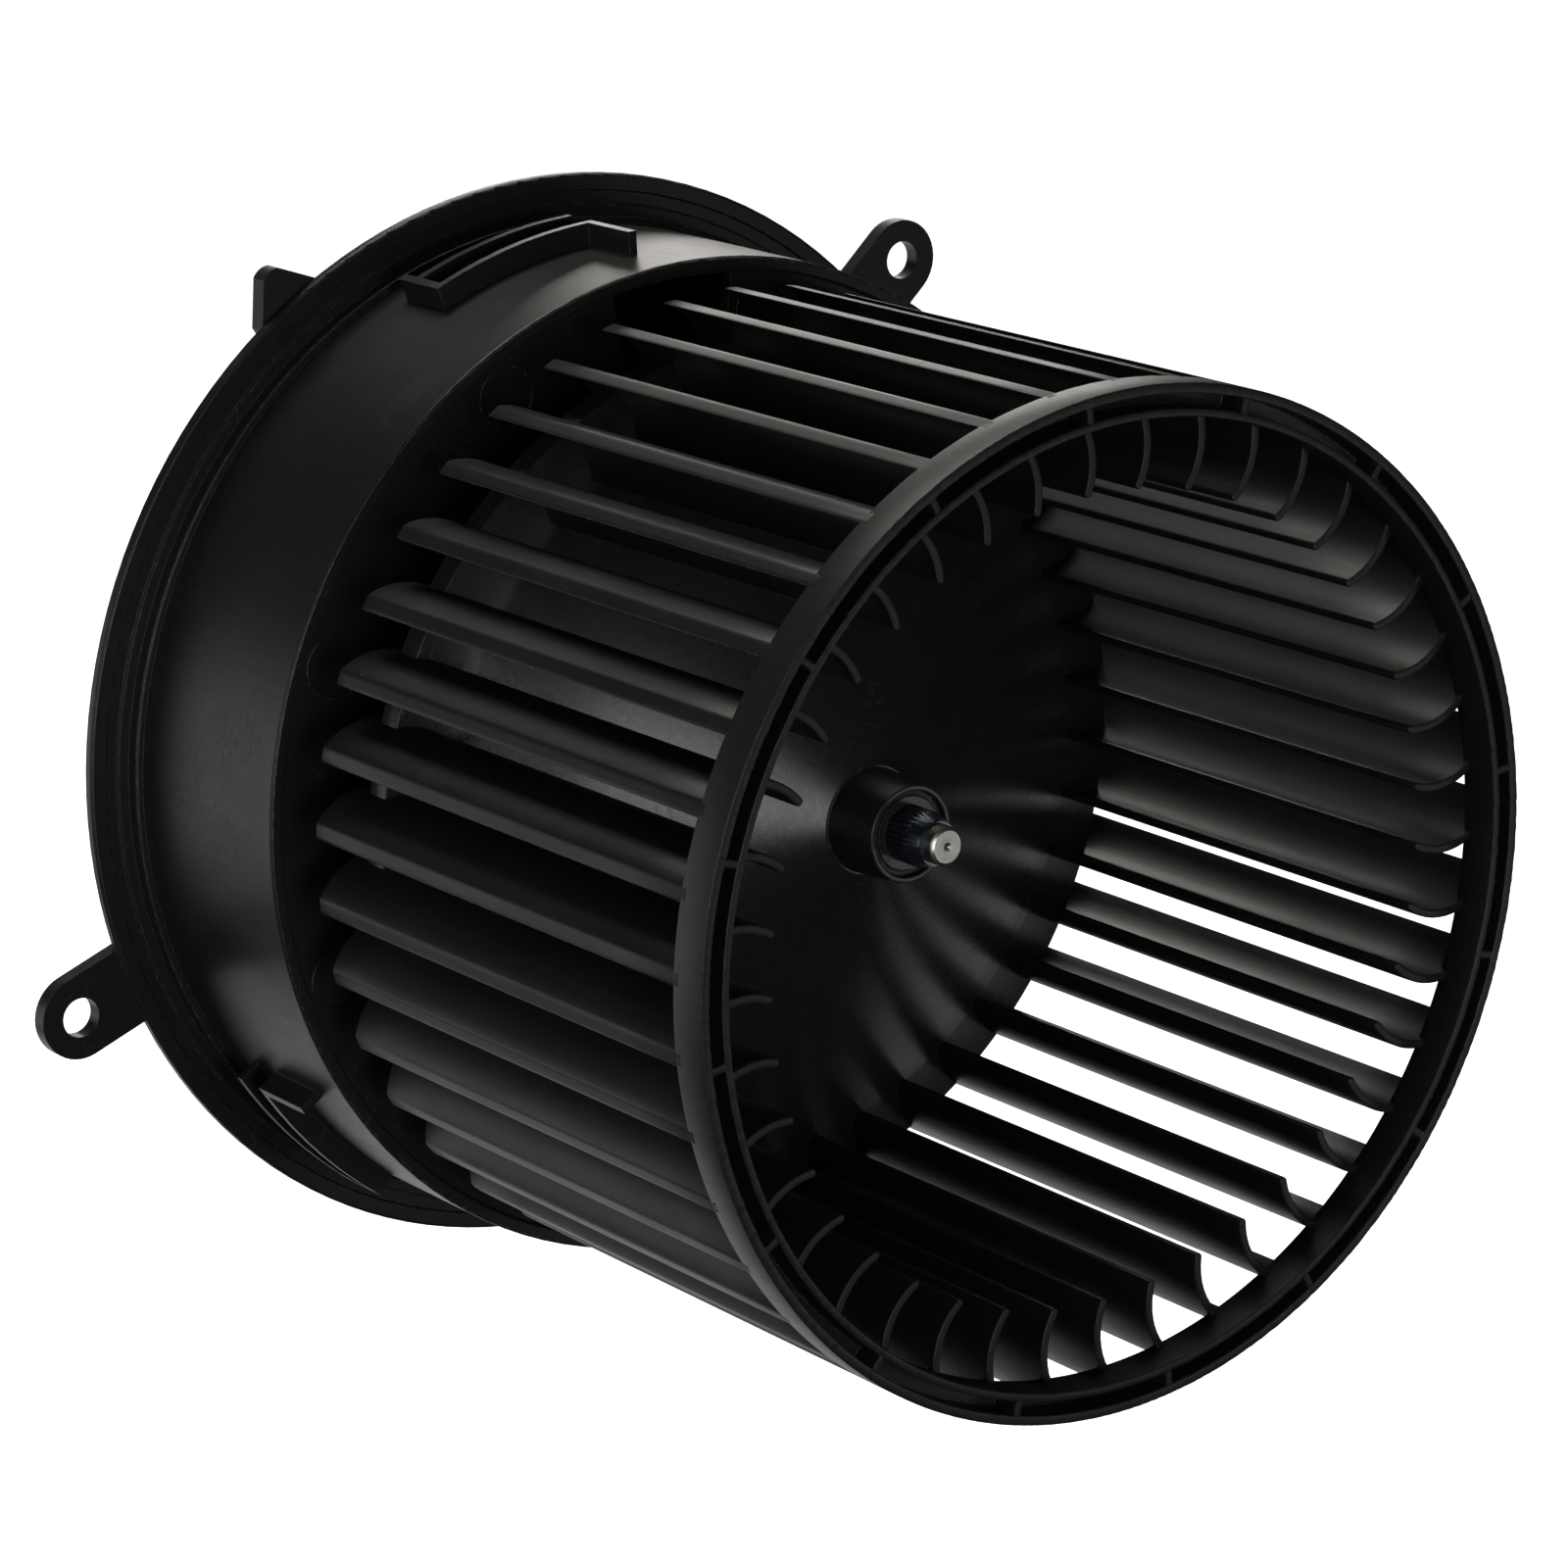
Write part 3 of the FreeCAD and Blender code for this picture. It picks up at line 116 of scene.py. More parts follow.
class WheelSizes(bpy.types.PropertyGroup):
    """Sizes of the wheel's finished surfaces."""

    edge: length("Edge rounding", 0.2, "Rounding of the moulded edges of the wheel")
    rim_wall: length("Outer ring wall", 1.5, "Thickness of the rim's outer ring")
    rim_gap: length("Ring gap", 2.1, "Open gap between the rim's two rings")
    inner_wall: length("Inner ring wall", 1.2, "Thickness of the rim's inner ring")
    gap_floor: length("Gap floor", 1.6, "Thickness of the floor that closes the gap at the rear")
    web_width: length("Web width", 1.1, "Thickness of the webs that join the rings")
    web_count: number_of("Webs", 16, "Webs that join the rings", 3)
    web_turn: turned_by("First web", 7.0, "Angle of the first web")
    flash: length("Flash", 0.10, "Height of the ragged flash on the rim's front edge")
    blade_count: number_of("Blades", 41, "Blades round the cage", 3)
    blade_turn: turned_by("First blade", 4.15, "Angle by which the first blade is turned back")
    blade_depth: length("Blade depth", 15.7, "Radial depth of a blade")
    blade_wall: length("Blade thickness", 1.3, "Thickness of a blade")
    blade_curve: length("Blade curve", 11.4, "Radius of a blade's mid line")
    curve_side: length("Curve offset", 10.4, "Sideways offset of the blade curve's centre")
    curve_inset: length("Curve inset", 10.3, "Blade curve's centre inside the wheel's outside")
    hub_edge: length("Hub edge", 8.0, "Width of the near-flat ring outside the cone")
    hub_wall: length("Hub wall", 2.2, "Wall of the hub")
    hub_turned: length("Turned edge", 4.1, "Depth of the hub's turned-back edge")
    dome: length("Cone dome", 360.0, "Radius of the cone's slight dome")
    boss_wall: length("Boss wall", 2.45, "Wall of the boss outside its bush")
    boss_draft: length("Boss draft", 0.6, "How much the boss narrows towards its tip")
    boss_length: length("Boss length", 9.8, "Length of the boss in front of the cone")
    boss_foot: length("Boss foot", 0.28, "Width of the thin step round the boss's root")
    foot_height: length("Foot height", 0.22, "Height of that step")
    lip: length("Lip", 0.9, "Width of the raised lip round the boss's tip")
    lip_height: length("Lip height", 1.0, "Height of that lip")
    pip_circle: length("Pip circle", 59.0, "Radius on which the ejector pips lie")
    pip_radius: length("Pip radius", 0.42, "Radius of an ejector pip")
    pip_height: length("Pip height", 0.3, "Height of an ejector pip")
    pip_lift: length("Pip lift", 0.25, "How far a pip's foot lies in front of the hub's edge")
    pip_turn: turned_by("First pip", 6.9, "Angle of the first pip")
    spring_wire: length("Spring wire", 0.5, "Wire of a brush spring")
    spring_turns: number_of("Spring turns", 5, "Turns of a brush spring", 2)


class HousingSizes(bpy.types.PropertyGroup):
    """Sizes of the housing's finished details."""

    flange_step: length("Flange step", 4.1, "How far the flange reaches outside the rear cover")
    collar_step: length("Collar step", 3.4, "How far the collar reaches outside the wheel's rim")
    floor_drop: length("Floor drop", 2.0, "How far the floor with the ejector marks lies behind the lip")
    bead: length("Weld bead", 0.16, "Height of the thin flash line at the collar's root")
    bead_out: length("Bead offset", 1.05, "How far that line lies outside the collar")
    bead_station: length("Bead station", 2.2, "How far that line lies in front of the flange")
    lip_line_in: length("Lip line inset", 0.4, "How far the lip's flash line lies inside the collar")
    lip_line_drop: length("Lip line drop", 0.1, "How far the lip's flash line lies behind the lip")
    groove_inset: length("Groove inset", 4.9, "Flange groove's line inside the flange's outside")
    mark_radius: length("Mark radius", 4.7, "Radius of the ejector marks in the floor")
    mark_rim: length("Mark rim", 0.14, "Height of the fine raised line round a mark")
    mark_inset: length("Mark inset", 8.4, "Ejector marks' circle inside the collar's outside")
    mark_count: number_of("Marks", 9, "Ejector marks in the floor", 1)
    mark_turn: turned_by("First mark", 119.5, "Angle of the first ejector mark")


def colour(name, value, description):
    return FloatVectorProperty(name=name, description=description, default=value, size=3, min=0.0, max=1.0,
                               subtype="COLOR")


class Finishes(bpy.types.PropertyGroup):
    """Colours of the finishes."""

    black: colour("Moulded black", (0.0095, 0.0093, 0.0088), "Glass-filled black plastic")
    # this grey is also the colour of the painted edge highlights and glints on the plastic, besides its wear
    grey: colour("Worn plastic", (0.085, 0.083, 0.078), "Rubbed edges and fine die lines of the plastic")
    socket: colour("Connector grey", (0.035, 0.036, 0.038), "Plastic of the connector")
    steel: colour("Ground steel", (0.60, 0.585, 0.555), "Ground shaft")
    blued: colour("Blued steel", (0.035, 0.055, 0.075), "Blue-black oiled spring steel")
    zinc: colour("Zinc plate", (0.46, 0.455, 0.43), "Plated can and screws")
    copper: colour("Copper", (0.60, 0.24, 0.10), "Enamelled copper wire")
    bronze: colour("Bronze", (0.42, 0.26, 0.11), "Sintered bronze")
    brass: colour("Brass", (0.62, 0.43, 0.15), "Bright brass")
    carbon: colour("Carbon", (0.02, 0.02, 0.022), "Brush carbon and ferrite")
    phenolic: colour("Phenolic", (0.17, 0.075, 0.03), "Phenolic board and sleeve")
    ceramic: colour("Ceramic", (0.42, 0.17, 0.03), "Dipped ceramic")
    rubber: colour("Rubber", (0.012, 0.012, 0.012), "Soft black rubber")
    tin: colour("Tin", (0.55, 0.55, 0.53), "Tinned terminals")


# ---------------------------------------------------------------- shader maths


class Tap:
    """A socket that answers to Python's operators by adding Math nodes."""

    def __init__(self, graph, socket):
        self.graph = graph
        self.socket = socket

    def _math(self, operation, *values):
        return self.graph.node("ShaderNodeMath", {"operation": operation}, *values)

    def __add__(self, other):
        return self._math("ADD", self, other)

    __radd__ = __add__

    def __mul__(self, other):
        return self._math("MULTIPLY", self, other)

    __rmul__ = __mul__

    def __sub__(self, other):
        return self._math("SUBTRACT", self, other)

    def __rsub__(self, other):
        return self._math("SUBTRACT", other, self)

    def __abs__(self):
        return self._math("ABSOLUTE", self)

    def sine(self):
        return self._math("SINE", self)

    def clipped(self, low, high):
        """The value brought from low..high to 0..1 and held there."""
        return self.graph.node("ShaderNodeMapRange", {"interpolation_type": "SMOOTHSTEP"}, self, low,
                               high)


class Graph:
    """A material's node tree with one method that adds any node."""

    def __init__(self, name):
        self.material = bpy.data.materials.new(name)
        self.material.use_nodes = True
        self.tree = self.material.node_tree
        self.shader = self.tree.nodes["Principled BSDF"]

    def node(self, kind, settings=None, *values, output=0, **named):
        """Adds a node, sets it up, fills its sockets in order or by name and hands back one output."""
        made = self.tree.nodes.new(kind)
        for key, value in (settings or {}).items():
            setattr(made, key, value)
        by_name = [(key.replace("_", " "), value) for key, value in named.items()]
        for place, value in list(enumerate(values)) + by_name:
            self.plug(value, made.inputs[place])
        return Tap(self, made.outputs[output])

    def plug(self, value, socket):
        if isinstance(value, Tap):
            self.tree.links.new(value.socket, socket)
        elif value is not None:
            socket.default_value = value

    def mix(self, amount, low, high):
        """Colour that goes from low to high as amount goes from 0 to 1."""
        made = self.tree.nodes.new("ShaderNodeMix")
        made.data_type = "RGBA"
        factor, low_place, high_place, mixed = 0, 6, 7, 2
        for place, value in ((factor, amount), (low_place, rgba(low)), (high_place, rgba(high))):
            self.plug(value, made.inputs[place])
        return Tap(self, made.outputs[mixed])

    def place(self):
        return self.node("ShaderNodeTexCoord", output="Object")

    def noise(self, scale, detail, rough=0.55, vector=None):
        """Fractal noise; scale is in cycles per metre, detail in octaves."""
        return self.node("ShaderNodeTexNoise", None, vector or self.place(), Scale=scale, Detail=detail,
                         Roughness=rough)

    def stretched(self, scale, turn=(0, 0, 0)):
        """Object place turned and scaled along each axis, for streaks, hairs and die lines."""
        return self.node("ShaderNodeMapping", None, self.place(), None, turn, scale)

    def edges(self, radius):
        """A rounded normal, and how far it leans from the true one: 0 on flats and more on edges."""
        soft = self.node("ShaderNodeBevel", {"samples": 4}, radius)
        true = self.node("ShaderNodeNewGeometry", output="Normal")
        match = self.node("ShaderNodeVectorMath", {"operation": "DOT_PRODUCT"}, soft, true, output="Value")
        return soft, 1 - match

    def bump(self, height, strength, distance, normal=None):
        return self.node("ShaderNodeBump", None, strength, distance, Height=height, Normal=normal)

    def finish(self, **sockets):
        for key, value in sockets.items():
            self.plug(value, self.shader.inputs[key.replace("_", " ")])
        return self.material


def rgba(value):
    return value if isinstance(value, Tap) else (*value[:3], 1.0)


# ---------------------------------------------------------------- surfaces


def around_shaft(radius, station, angle):
    """Points at a radius and a station, turned about the shaft: x = r cos a, y = -s, z = r sin a."""
    radius, station, angle = np.broadcast_arrays(radius, station, angle)
    return np.stack([radius * np.cos(angle), -station, radius * np.sin(angle)], axis=-1)


def grid_faces(rows, columns, wrap_rows, wrap_columns):
    """Corner numbers of the quads of a grid, closed round either way if asked."""
    i = np.arange(rows if wrap_rows else rows - 1)[:, None]
    j = np.arange(columns if wrap_columns else columns - 1)[None, :]
    after_i, after_j = (i + 1) % rows, (j + 1) % columns
    corners = [i * columns + j, after_i * columns + j, after_i * columns + after_j, i * columns + after_j]
    return np.stack(np.broadcast_arrays(*corners), axis=-1).reshape(-1, 4)


class Surface:
    """Grids gathered into one mesh."""

    def __init__(self):
        self.points, self.faces, self.count = [], [], 0

    def add(self, grid, wrap_rows=False, wrap_columns=True):
        """Adds a closed shell given as a grid, its faces turned to look outwards by its signed volume."""
        rows, columns = grid.shape[:2]
        points = grid.reshape(-1, 3)
        faces = grid_faces(rows, columns, wrap_rows, wrap_columns)
        a, b, c, d = (points[faces[:, k]] for k in range(4))
        volume = np.sum(np.cross(a, b) * c) + np.sum(np.cross(a, c) * d)
        if volume < 0:
            faces = faces[:, ::-1]
        self.points.append(points)
        self.faces.append(faces + self.count)
        self.count += len(points)
        return self

    def piece(self, name, body, slot, look=None):
        """Makes the object, merges its closed seams and hands it to its body, if it rides on one.
        Its finish is its slot's own unless look names another."""
        mesh = bpy.data.meshes.new(name)
        mesh.from_pydata(np.concatenate(self.points).tolist(), [], np.concatenate(self.faces).tolist())
        made = bpy.data.objects.new(name, mesh)
        bpy.context.scene.collection.objects.link(made)
        tidy_mesh(mesh)
        mesh.polygons.foreach_set("use_smooth", np.ones(len(mesh.polygons), bool))
        mesh.set_sharp_from_angle(angle=SHARP)
        mesh.materials.append(finish(look or slot))
        if body:
            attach(made, body)
        return made


def tidy_mesh(mesh):
    """Merges points that coincide, as at a pole or a pinched row, and drops faces that have no area."""
    work = bmesh.new()
    work.from_mesh(mesh)
    bmesh.ops.remove_doubles(work, verts=work.verts, dist=1e-7)
    bmesh.ops.dissolve_degenerate(work, edges=work.edges, dist=1e-8)
    work.to_mesh(mesh)
    work.free()


def rounded(corners, radius, steps=ARC_STEPS):
    """A closed outline whose corners become arcs: each arc touches both sides at the radius divided by
    the tangent of half the corner, or just short of half the shorter side if that is less."""
    corners = np.asarray(corners, float)
    radius = np.broadcast_to(np.asarray(radius, float), len(corners))
    before, after = np.roll(corners, 1, axis=0) - corners, np.roll(corners, -1, axis=0) - corners
    long_before, long_after = np.linalg.norm(before, axis=1), np.linalg.norm(after, axis=1)
    before, after = before / long_before[:, None], after / long_after[:, None]
    half = np.arccos(np.clip(np.sum(before * after, axis=1), -1, 1)) / 2
    reach = np.minimum(radius / np.tan(half), 0.48 * np.minimum(long_before, long_after))
    bend = reach * np.tan(half)
    middle = before + after
    middle /= np.maximum(np.linalg.norm(middle, axis=1), 1e-9)[:, None]
    centre = corners + middle * (bend / np.sin(half))[:, None]
    start, stop = corners + before * reach[:, None] - centre, corners + after * reach[:, None] - centre
    share = np.linspace(0, 1, steps)[None, :, None]
    arc = start[:, None] * (1 - share) + stop[:, None] * share
    arc *= bend[:, None, None] / np.maximum(np.linalg.norm(arc, axis=2, keepdims=True), 1e-12)
    return (centre[:, None] + arc).reshape(-1, 2)


def ring(outline, count, ripple=None):
    """A closed (radius, station) outline carried once round the shaft; ripple moves radius and station."""
    angle = np.linspace(0, TURN, count, endpoint=False)[:, None]
    radius, station = outline[None, :, 0], outline[None, :, 1]
    if ripple is not None:
        radius, station = ripple(radius, station, angle)
    return around_shaft(radius, station, angle)


def box_outline(low_r, high_r, low_s, high_s):
    """Corners of a rectangle in radius and station."""
    return [(low_r, low_s), (high_r, low_s), (high_r, high_s), (low_r, high_s)]


def thin_ring(radius, station, thick, count=360, sides=8, ripple=None):
    """A ring of round section, for a die line or a bead of flash: a small circle carried round the shaft."""
    bend = np.linspace(0, TURN, sides, endpoint=False)
    outline = np.stack([radius + thick * np.cos(bend), station + thick * np.sin(bend)], axis=1)
    return ring(outline, count, ripple)


def ragged(angle, seed, terms=22, slowest=9, fastest=340, spread=6.0):
    """A smooth, repeatable unevenness round the wheel: sines of whole-number frequencies, their sum
    divided by spread so that it stays about within -1 to 1."""
    draw = np.random.default_rng(seed)
    waves = draw.integers(slowest, fastest, terms)
    phases = draw.uniform(0, TURN, terms)
    return np.sin(angle[..., None] * waves + phases).sum(axis=-1) / spread


def capped(rows):
    """Closes a stack of closed rows with its first and last row pinched to their middles."""
    first, last = rows[:1].mean(axis=1, keepdims=True), rows[-1:].mean(axis=1, keepdims=True)
    return np.concatenate([np.broadcast_to(first, rows[:1].shape), rows,
                           np.broadcast_to(last, rows[-1:].shape)])


# ---------------------------------------------------------------- the wheel


def rim_surface(size):
    """Two rounded rings, the floor and webs between them, and ragged flash along the rings' front edges."""
    outside = far_radius("wheel_rim")
    back, front = stations("wheel_rim")
    inner_out = outside - size.rim_wall - size.rim_gap
    inner_in = inner_out - size.inner_wall
    front -= size.flash
    fade = 3 * size.edge

    def flashed(radius, station, angle):
        near = np.clip((station - (front - fade)) / fade, 0, 1)
        uneven = np.clip(ragged(angle, seed=7), -0.4, 1) * size.flash
        outer_side = radius > (inner_out + outside) / 2
        inward = np.where(outer_side, -0.5, 0.5) * np.abs(uneven) * near
        return radius + inward, station + uneven * near

    made = Surface()
    for low, high in ((outside - size.rim_wall, outside), (inner_in, inner_out)):
        outline = rounded(box_outline(low, high, back, front), size.edge)
        made.add(ring(outline, count=820, ripple=flashed), wrap_rows=True)
    low, high = inner_out - size.inner_wall / 2, outside - size.rim_wall / 2
    floor = np.array(box_outline(low, high, back + size.edge / 2, back + size.gap_floor))
    made.add(ring(floor, count=360), wrap_rows=True)
    half = size.web_width / 2
    section = rounded(box_outline(-half, half, back, front - size.edge), size.edge / 2, steps=3)
    reach = np.linspace(low, high, 4)[:, None]
    for number in range(size.web_count):
        turn = size.web_turn + number * TURN / size.web_count
        along = np.array([math.cos(turn), 0, math.sin(turn)])
        across = np.array([-math.sin(turn), 0, math.cos(turn)])
        grid = reach[..., None] * along + section[None, :, :1] * across
        made.add(capped(grid + section[None, :, 1:] * TOWARDS_MOUTH))
    return made


def blade_section(size, outside, inset, steps=14):
    """Outline of a bent strip, drawn in by inset: two arcs about the blade curve's centre, a round nose
    inside and an outer end that follows the wheel's outside, its corners rounded."""
    half = size.blade_wall / 2 - inset
    centre = np.array([-size.curve_side, outside - size.curve_inset])
    span = np.hypot(*centre)
    base = math.atan2(centre[1], centre[0])

    def meeting(bend, distance):
        cosine = (distance ** 2 - span ** 2 - bend ** 2) / (2 * span * bend)
        return base - np.arccos(np.clip(cosine, -1, 1))

    nose = meeting(size.blade_curve, outside - size.blade_depth + size.blade_wall / 2)
    across = np.sin(np.linspace(-math.pi / 2, math.pi / 2, END_POINTS)) * half
    corner = min(size.edge, half * 0.8)
    past = np.clip((np.abs(across) - (half - corner)) / corner, 0, 1)
    reach = outside - inset - corner * (1 - np.sqrt(1 - past ** 2))
    outer_end = meeting(size.blade_curve + across, reach)

    def at(bend, angle):
        return centre + np.stack([bend * np.cos(angle), bend * np.sin(angle)], axis=-1)

    share = np.linspace(0, 1, steps)[1:-1]
    lower = at(size.blade_curve - half, nose + (outer_end[0] - nose) * share)
    upper = at(size.blade_curve + half, outer_end[-1] + (nose - outer_end[-1]) * share)
    swing = np.linspace(0, -math.pi, END_POINTS)
    tip = at(size.blade_curve, nose) + half * np.stack([np.cos(nose + swing), np.sin(nose + swing)], axis=-1)
    return np.concatenate([lower, at(size.blade_curve + across, outer_end), upper, tip])


def blades_surface(size):
    """Every blade: its section carried along the shaft, rounded over at both ends."""
    outside = far_radius("wheel_blades")
    rear, front = stations("wheel_blades")
    sink = np.linspace(0, math.pi / 2, 4)
    inset = size.edge * (1 - np.sin(sink))
    ahead = size.edge * (1 - np.cos(sink))
    levels = list(zip(inset, rear + ahead)) + [(0.0, s) for s in np.linspace(rear, front, 8)[1:-1]]
    levels += list(zip(inset[::-1], front - ahead[::-1]))
    rows = [blade_section(size, outside, draw_in) for draw_in, _ in levels]
    station = np.array([s for _, s in levels])[:, None]
    section = np.stack(rows)
    made = Surface()
    for number in range(size.blade_count):
        turn = number * TURN / size.blade_count - size.blade_turn
        x = section[..., 0] * math.cos(turn) - section[..., 1] * math.sin(turn)
        z = section[..., 0] * math.sin(turn) + section[..., 1] * math.cos(turn)
        made.add(blade_ends(np.stack([x, np.broadcast_to(-station, x.shape), z], axis=-1)))
    return made


def blade_ends(grid):
    """Closes a blade's ends by folding each end row flat onto the blade's mid line."""
    columns = grid.shape[1]
    mate = (columns - END_POINTS - 1 - np.arange(columns)) % columns
    first = (grid[:1] + grid[:1, mate]) / 2
    last = (grid[-1:] + grid[-1:, mate]) / 2
    return np.concatenate([first, grid, last])


def dome_curve(foot, tip, radius, steps):
    """Points on the arc of a given radius from foot to tip, bulging away from the shaft."""
    foot, tip = np.asarray(foot), np.asarray(tip)
    chord = tip - foot
    span = np.hypot(*chord)
    side = np.array([chord[1], -chord[0]]) / span
    share = np.linspace(0, 1, steps)[:, None]
    rise = radius - math.sqrt(radius ** 2 - span ** 2 / 4)
    return foot + chord * share + side * rise * 4 * share * (1 - share)


def hub_surface(size):
    """The hub: turned-back edge, near-flat ring, domed cone, boss with a raised lip, and its hollow back."""
    outside = far_radius("wheel_hub")
    back, tip = stations("wheel_hub")
    bush_back, _ = stations("hub_insert")
    bush = far_radius("hub_insert")
    edge = back + size.hub_turned
    below = size.hub_wall * 1.1  # the cone's wall measured along the shaft
    foot = np.array([outside - size.hub_edge, edge + size.hub_wall / 3])
    root = tip - size.boss_length
    boss = bush + size.boss_wall
    tip_radius = boss - size.boss_draft
    lip_in = tip_radius - size.lip
    cone = dome_curve(foot, (boss, root), size.dome, steps=26)[:-2]
    step = boss + size.boss_foot
    foot_ring = np.array([(step, root), (step, root + size.foot_height), (boss, root + size.foot_height)])
    under = dome_curve(foot - np.array([size.hub_wall / 4, below]), (boss, root - below), size.dome,
                       steps=14)[::-1]
    draft_start = (boss - 0.1 * MM, root + 3 * MM)
    boss_front = rounded([draft_start, (tip_radius, tip), (lip_in, tip), (lip_in, tip - size.lip_height),
                          (bush, tip - size.lip_height), (bush, bush_back), (boss, bush_back)],
                         size.edge)[ARC_STEPS // 2:]
    outer_edge = rounded([(outside - size.hub_wall, edge - size.hub_wall), (outside - size.hub_wall, back),
                          (outside, back), (outside, edge), tuple(foot)], size.edge)[:-ARC_STEPS]
    outline = np.concatenate([outer_edge, cone, foot_ring, boss_front, under])
    return Surface().add(ring(outline, count=492), wrap_rows=True)


def shaft_surface(bevel=0.45 * MM, groove=0.035 * MM, turned_rings=9, steps=34):
    """The ground shaft: a chamfered rod whose front face carries fine turned rings round a shallow
    centre. A ring's depth is a cosine of the radius, and the centre's is a bell of it."""
    radius = far_radius("motor_shaft")
    back, tip = stations("motor_shaft")
    centre_depth, centre_width, centre_floor = 0.25 * MM, 0.5 * MM, 0.3 * MM
    rings = np.linspace(radius - bevel, 0.12 * MM, steps)
    face = tip - groove * (0.5 + 0.5 * np.cos(np.linspace(0, turned_rings * TURN, steps)))
    face -= centre_depth * np.exp(-(rings / centre_width) ** 2)
    side = np.linspace(back + bevel, tip - bevel, 6)
    outline = np.concatenate([[(0, back), (radius - bevel, back)],
                              np.stack([np.full_like(side, radius), side], axis=1),
                              np.stack([rings, face], axis=1), [(0, tip - centre_floor)]])
    angle = np.linspace(0, TURN, 96, endpoint=False)[None, :]
    return Surface().add(around_shaft(outline[:, :1], outline[:, 1:], angle))


def retainer_surface(teeth=30, tooth=0.28, bush_step=2.6 * MM):
    """The push nut: a serrated sleeve, its teeth a rounded wave round it that fades into a smooth cone.
    Stations along it are shares of its length; tooth is the teeth's depth in millimetres."""
    root = far_radius("shaft_retainer")
    bore = far_radius("hub_insert") - bush_step
    back, tip = stations("shaft_retainer")
    long = tip - back
    outline = np.array([(bore, back), (root - 0.15 * MM, back), (root, back + 0.2 * MM),
                        *[(root, back + long * share) for share in np.linspace(0.1, 0.56, 7)],
                        (root - 0.12 * MM, back + long * 0.62), (root - 0.3 * MM, back + long * 0.68),
                        (bore + 0.62 * MM, back + long * 0.95), (bore + 0.4 * MM, tip), (bore, tip)])
    toothed = [back + long * share for share in (0.0, 0.08, 0.58, 0.66)]
    depth = np.interp(outline[:, 1], toothed, [0.0, tooth, tooth, 0.0]) * MM
    depth[outline[:, 0] < root - 0.14 * MM] = 0.0

    def serrated(radius, station, angle):
        wave = 1 - np.abs(np.cos(angle * teeth / 2)) ** 0.7
        return radius - depth[None, :] * wave, station + 0 * angle

    return Surface().add(ring(outline, count=480, ripple=serrated), wrap_rows=True)


def small_dome(middle, radius, height, rows=4, columns=16):
    """A low cap facing the mouth: its radius shrinks as the cosine and its height grows as the sine of
    one angle; its foot is closed."""
    rise = np.linspace(0, math.pi / 2, rows)[:, None]
    turn = np.linspace(0, TURN, columns, endpoint=False)[None, :]
    grid = middle + around_shaft(radius * np.cos(rise), height * np.sin(rise), turn)
    foot = np.broadcast_to(middle, (1, columns, 3))
    return np.concatenate([foot, grid])


def pips_surface(size):
    """The low round pips that the mould's ejector pins left on the hub, one between each pair of blades."""
    back, _ = stations("wheel_hub")
    station = back + size.hub_turned + size.hub_wall / 3 + size.pip_lift
    made = Surface()
    for number in range(size.blade_count):
        turn = size.pip_turn + number * TURN / size.blade_count
        middle = around_shaft(size.pip_circle, station, math.pi - turn)
        made.add(small_dome(middle, size.pip_radius, size.pip_height))
    return made


def boss_rings_surface(size):
    """The two fine raised rings in the boss's recessed face."""
    _, tip = stations("wheel_hub")
    bush = far_radius("hub_insert")
    face = tip - size.lip_height
    made = Surface()
    for outside_bush, thick in ((0.25 * MM, 0.16 * MM), (0.85 * MM, 0.12 * MM)):
        made.add(thin_ring(bush + outside_bush, face, thick, count=128, sides=10), wrap_rows=True)
    return made


def spring_surface(size, node):
    """A coil: a circle of wire carried along a helix whose height grows evenly with its angle."""
    low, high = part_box(node)
    middle = (low + high) / 2
    bend = (high.x - low.x) / 2 - size.spring_wire / 2
    share = np.linspace(0, 1, 40 * size.spring_turns + 1)[:, None]
    height = low.z + size.spring_wire / 2 + share * (high.z - low.z - size.spring_wire)
    round_wire = np.linspace(0, TURN, 12, endpoint=False)[None, :]
    reach = bend + size.spring_wire / 2 * np.cos(round_wire)
    angle = share * TURN * size.spring_turns
    grid = np.stack([middle.x + reach * np.cos(angle), middle.y + reach * np.sin(angle),
                     height + size.spring_wire / 2 * np.sin(round_wire)], axis=-1)
    return Surface().add(capped(grid))


# ---------------------------------------------------------------- details of the housing


def housing_lines_surface(size):
    """Flash lines of the moulding: at the collar's root bead, at its lip and along the flange's groove."""
    _, cover_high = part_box("rear_cover")
    groove = cover_high.x + size.flange_step - size.groove_inset
    collar = far_radius("wheel_rim") + size.collar_step
    _, lip = stations("flange_housing")

    def uneven(radius, station, angle):
        return radius + ragged(angle, seed=3) * size.bead * 0.3, station + 0 * angle

    made = Surface()
    for radius, station, thick, ripple in (
            (collar + size.bead_out, size.bead_station, size.bead, uneven),
            (collar - size.lip_line_in, lip - size.lip_line_drop, size.bead * 0.8, uneven),
            (groove, 0.0, size.bead * 0.5, None)):
        made.add(thin_ring(radius, station, thick, ripple=ripple), wrap_rows=True)
    return made


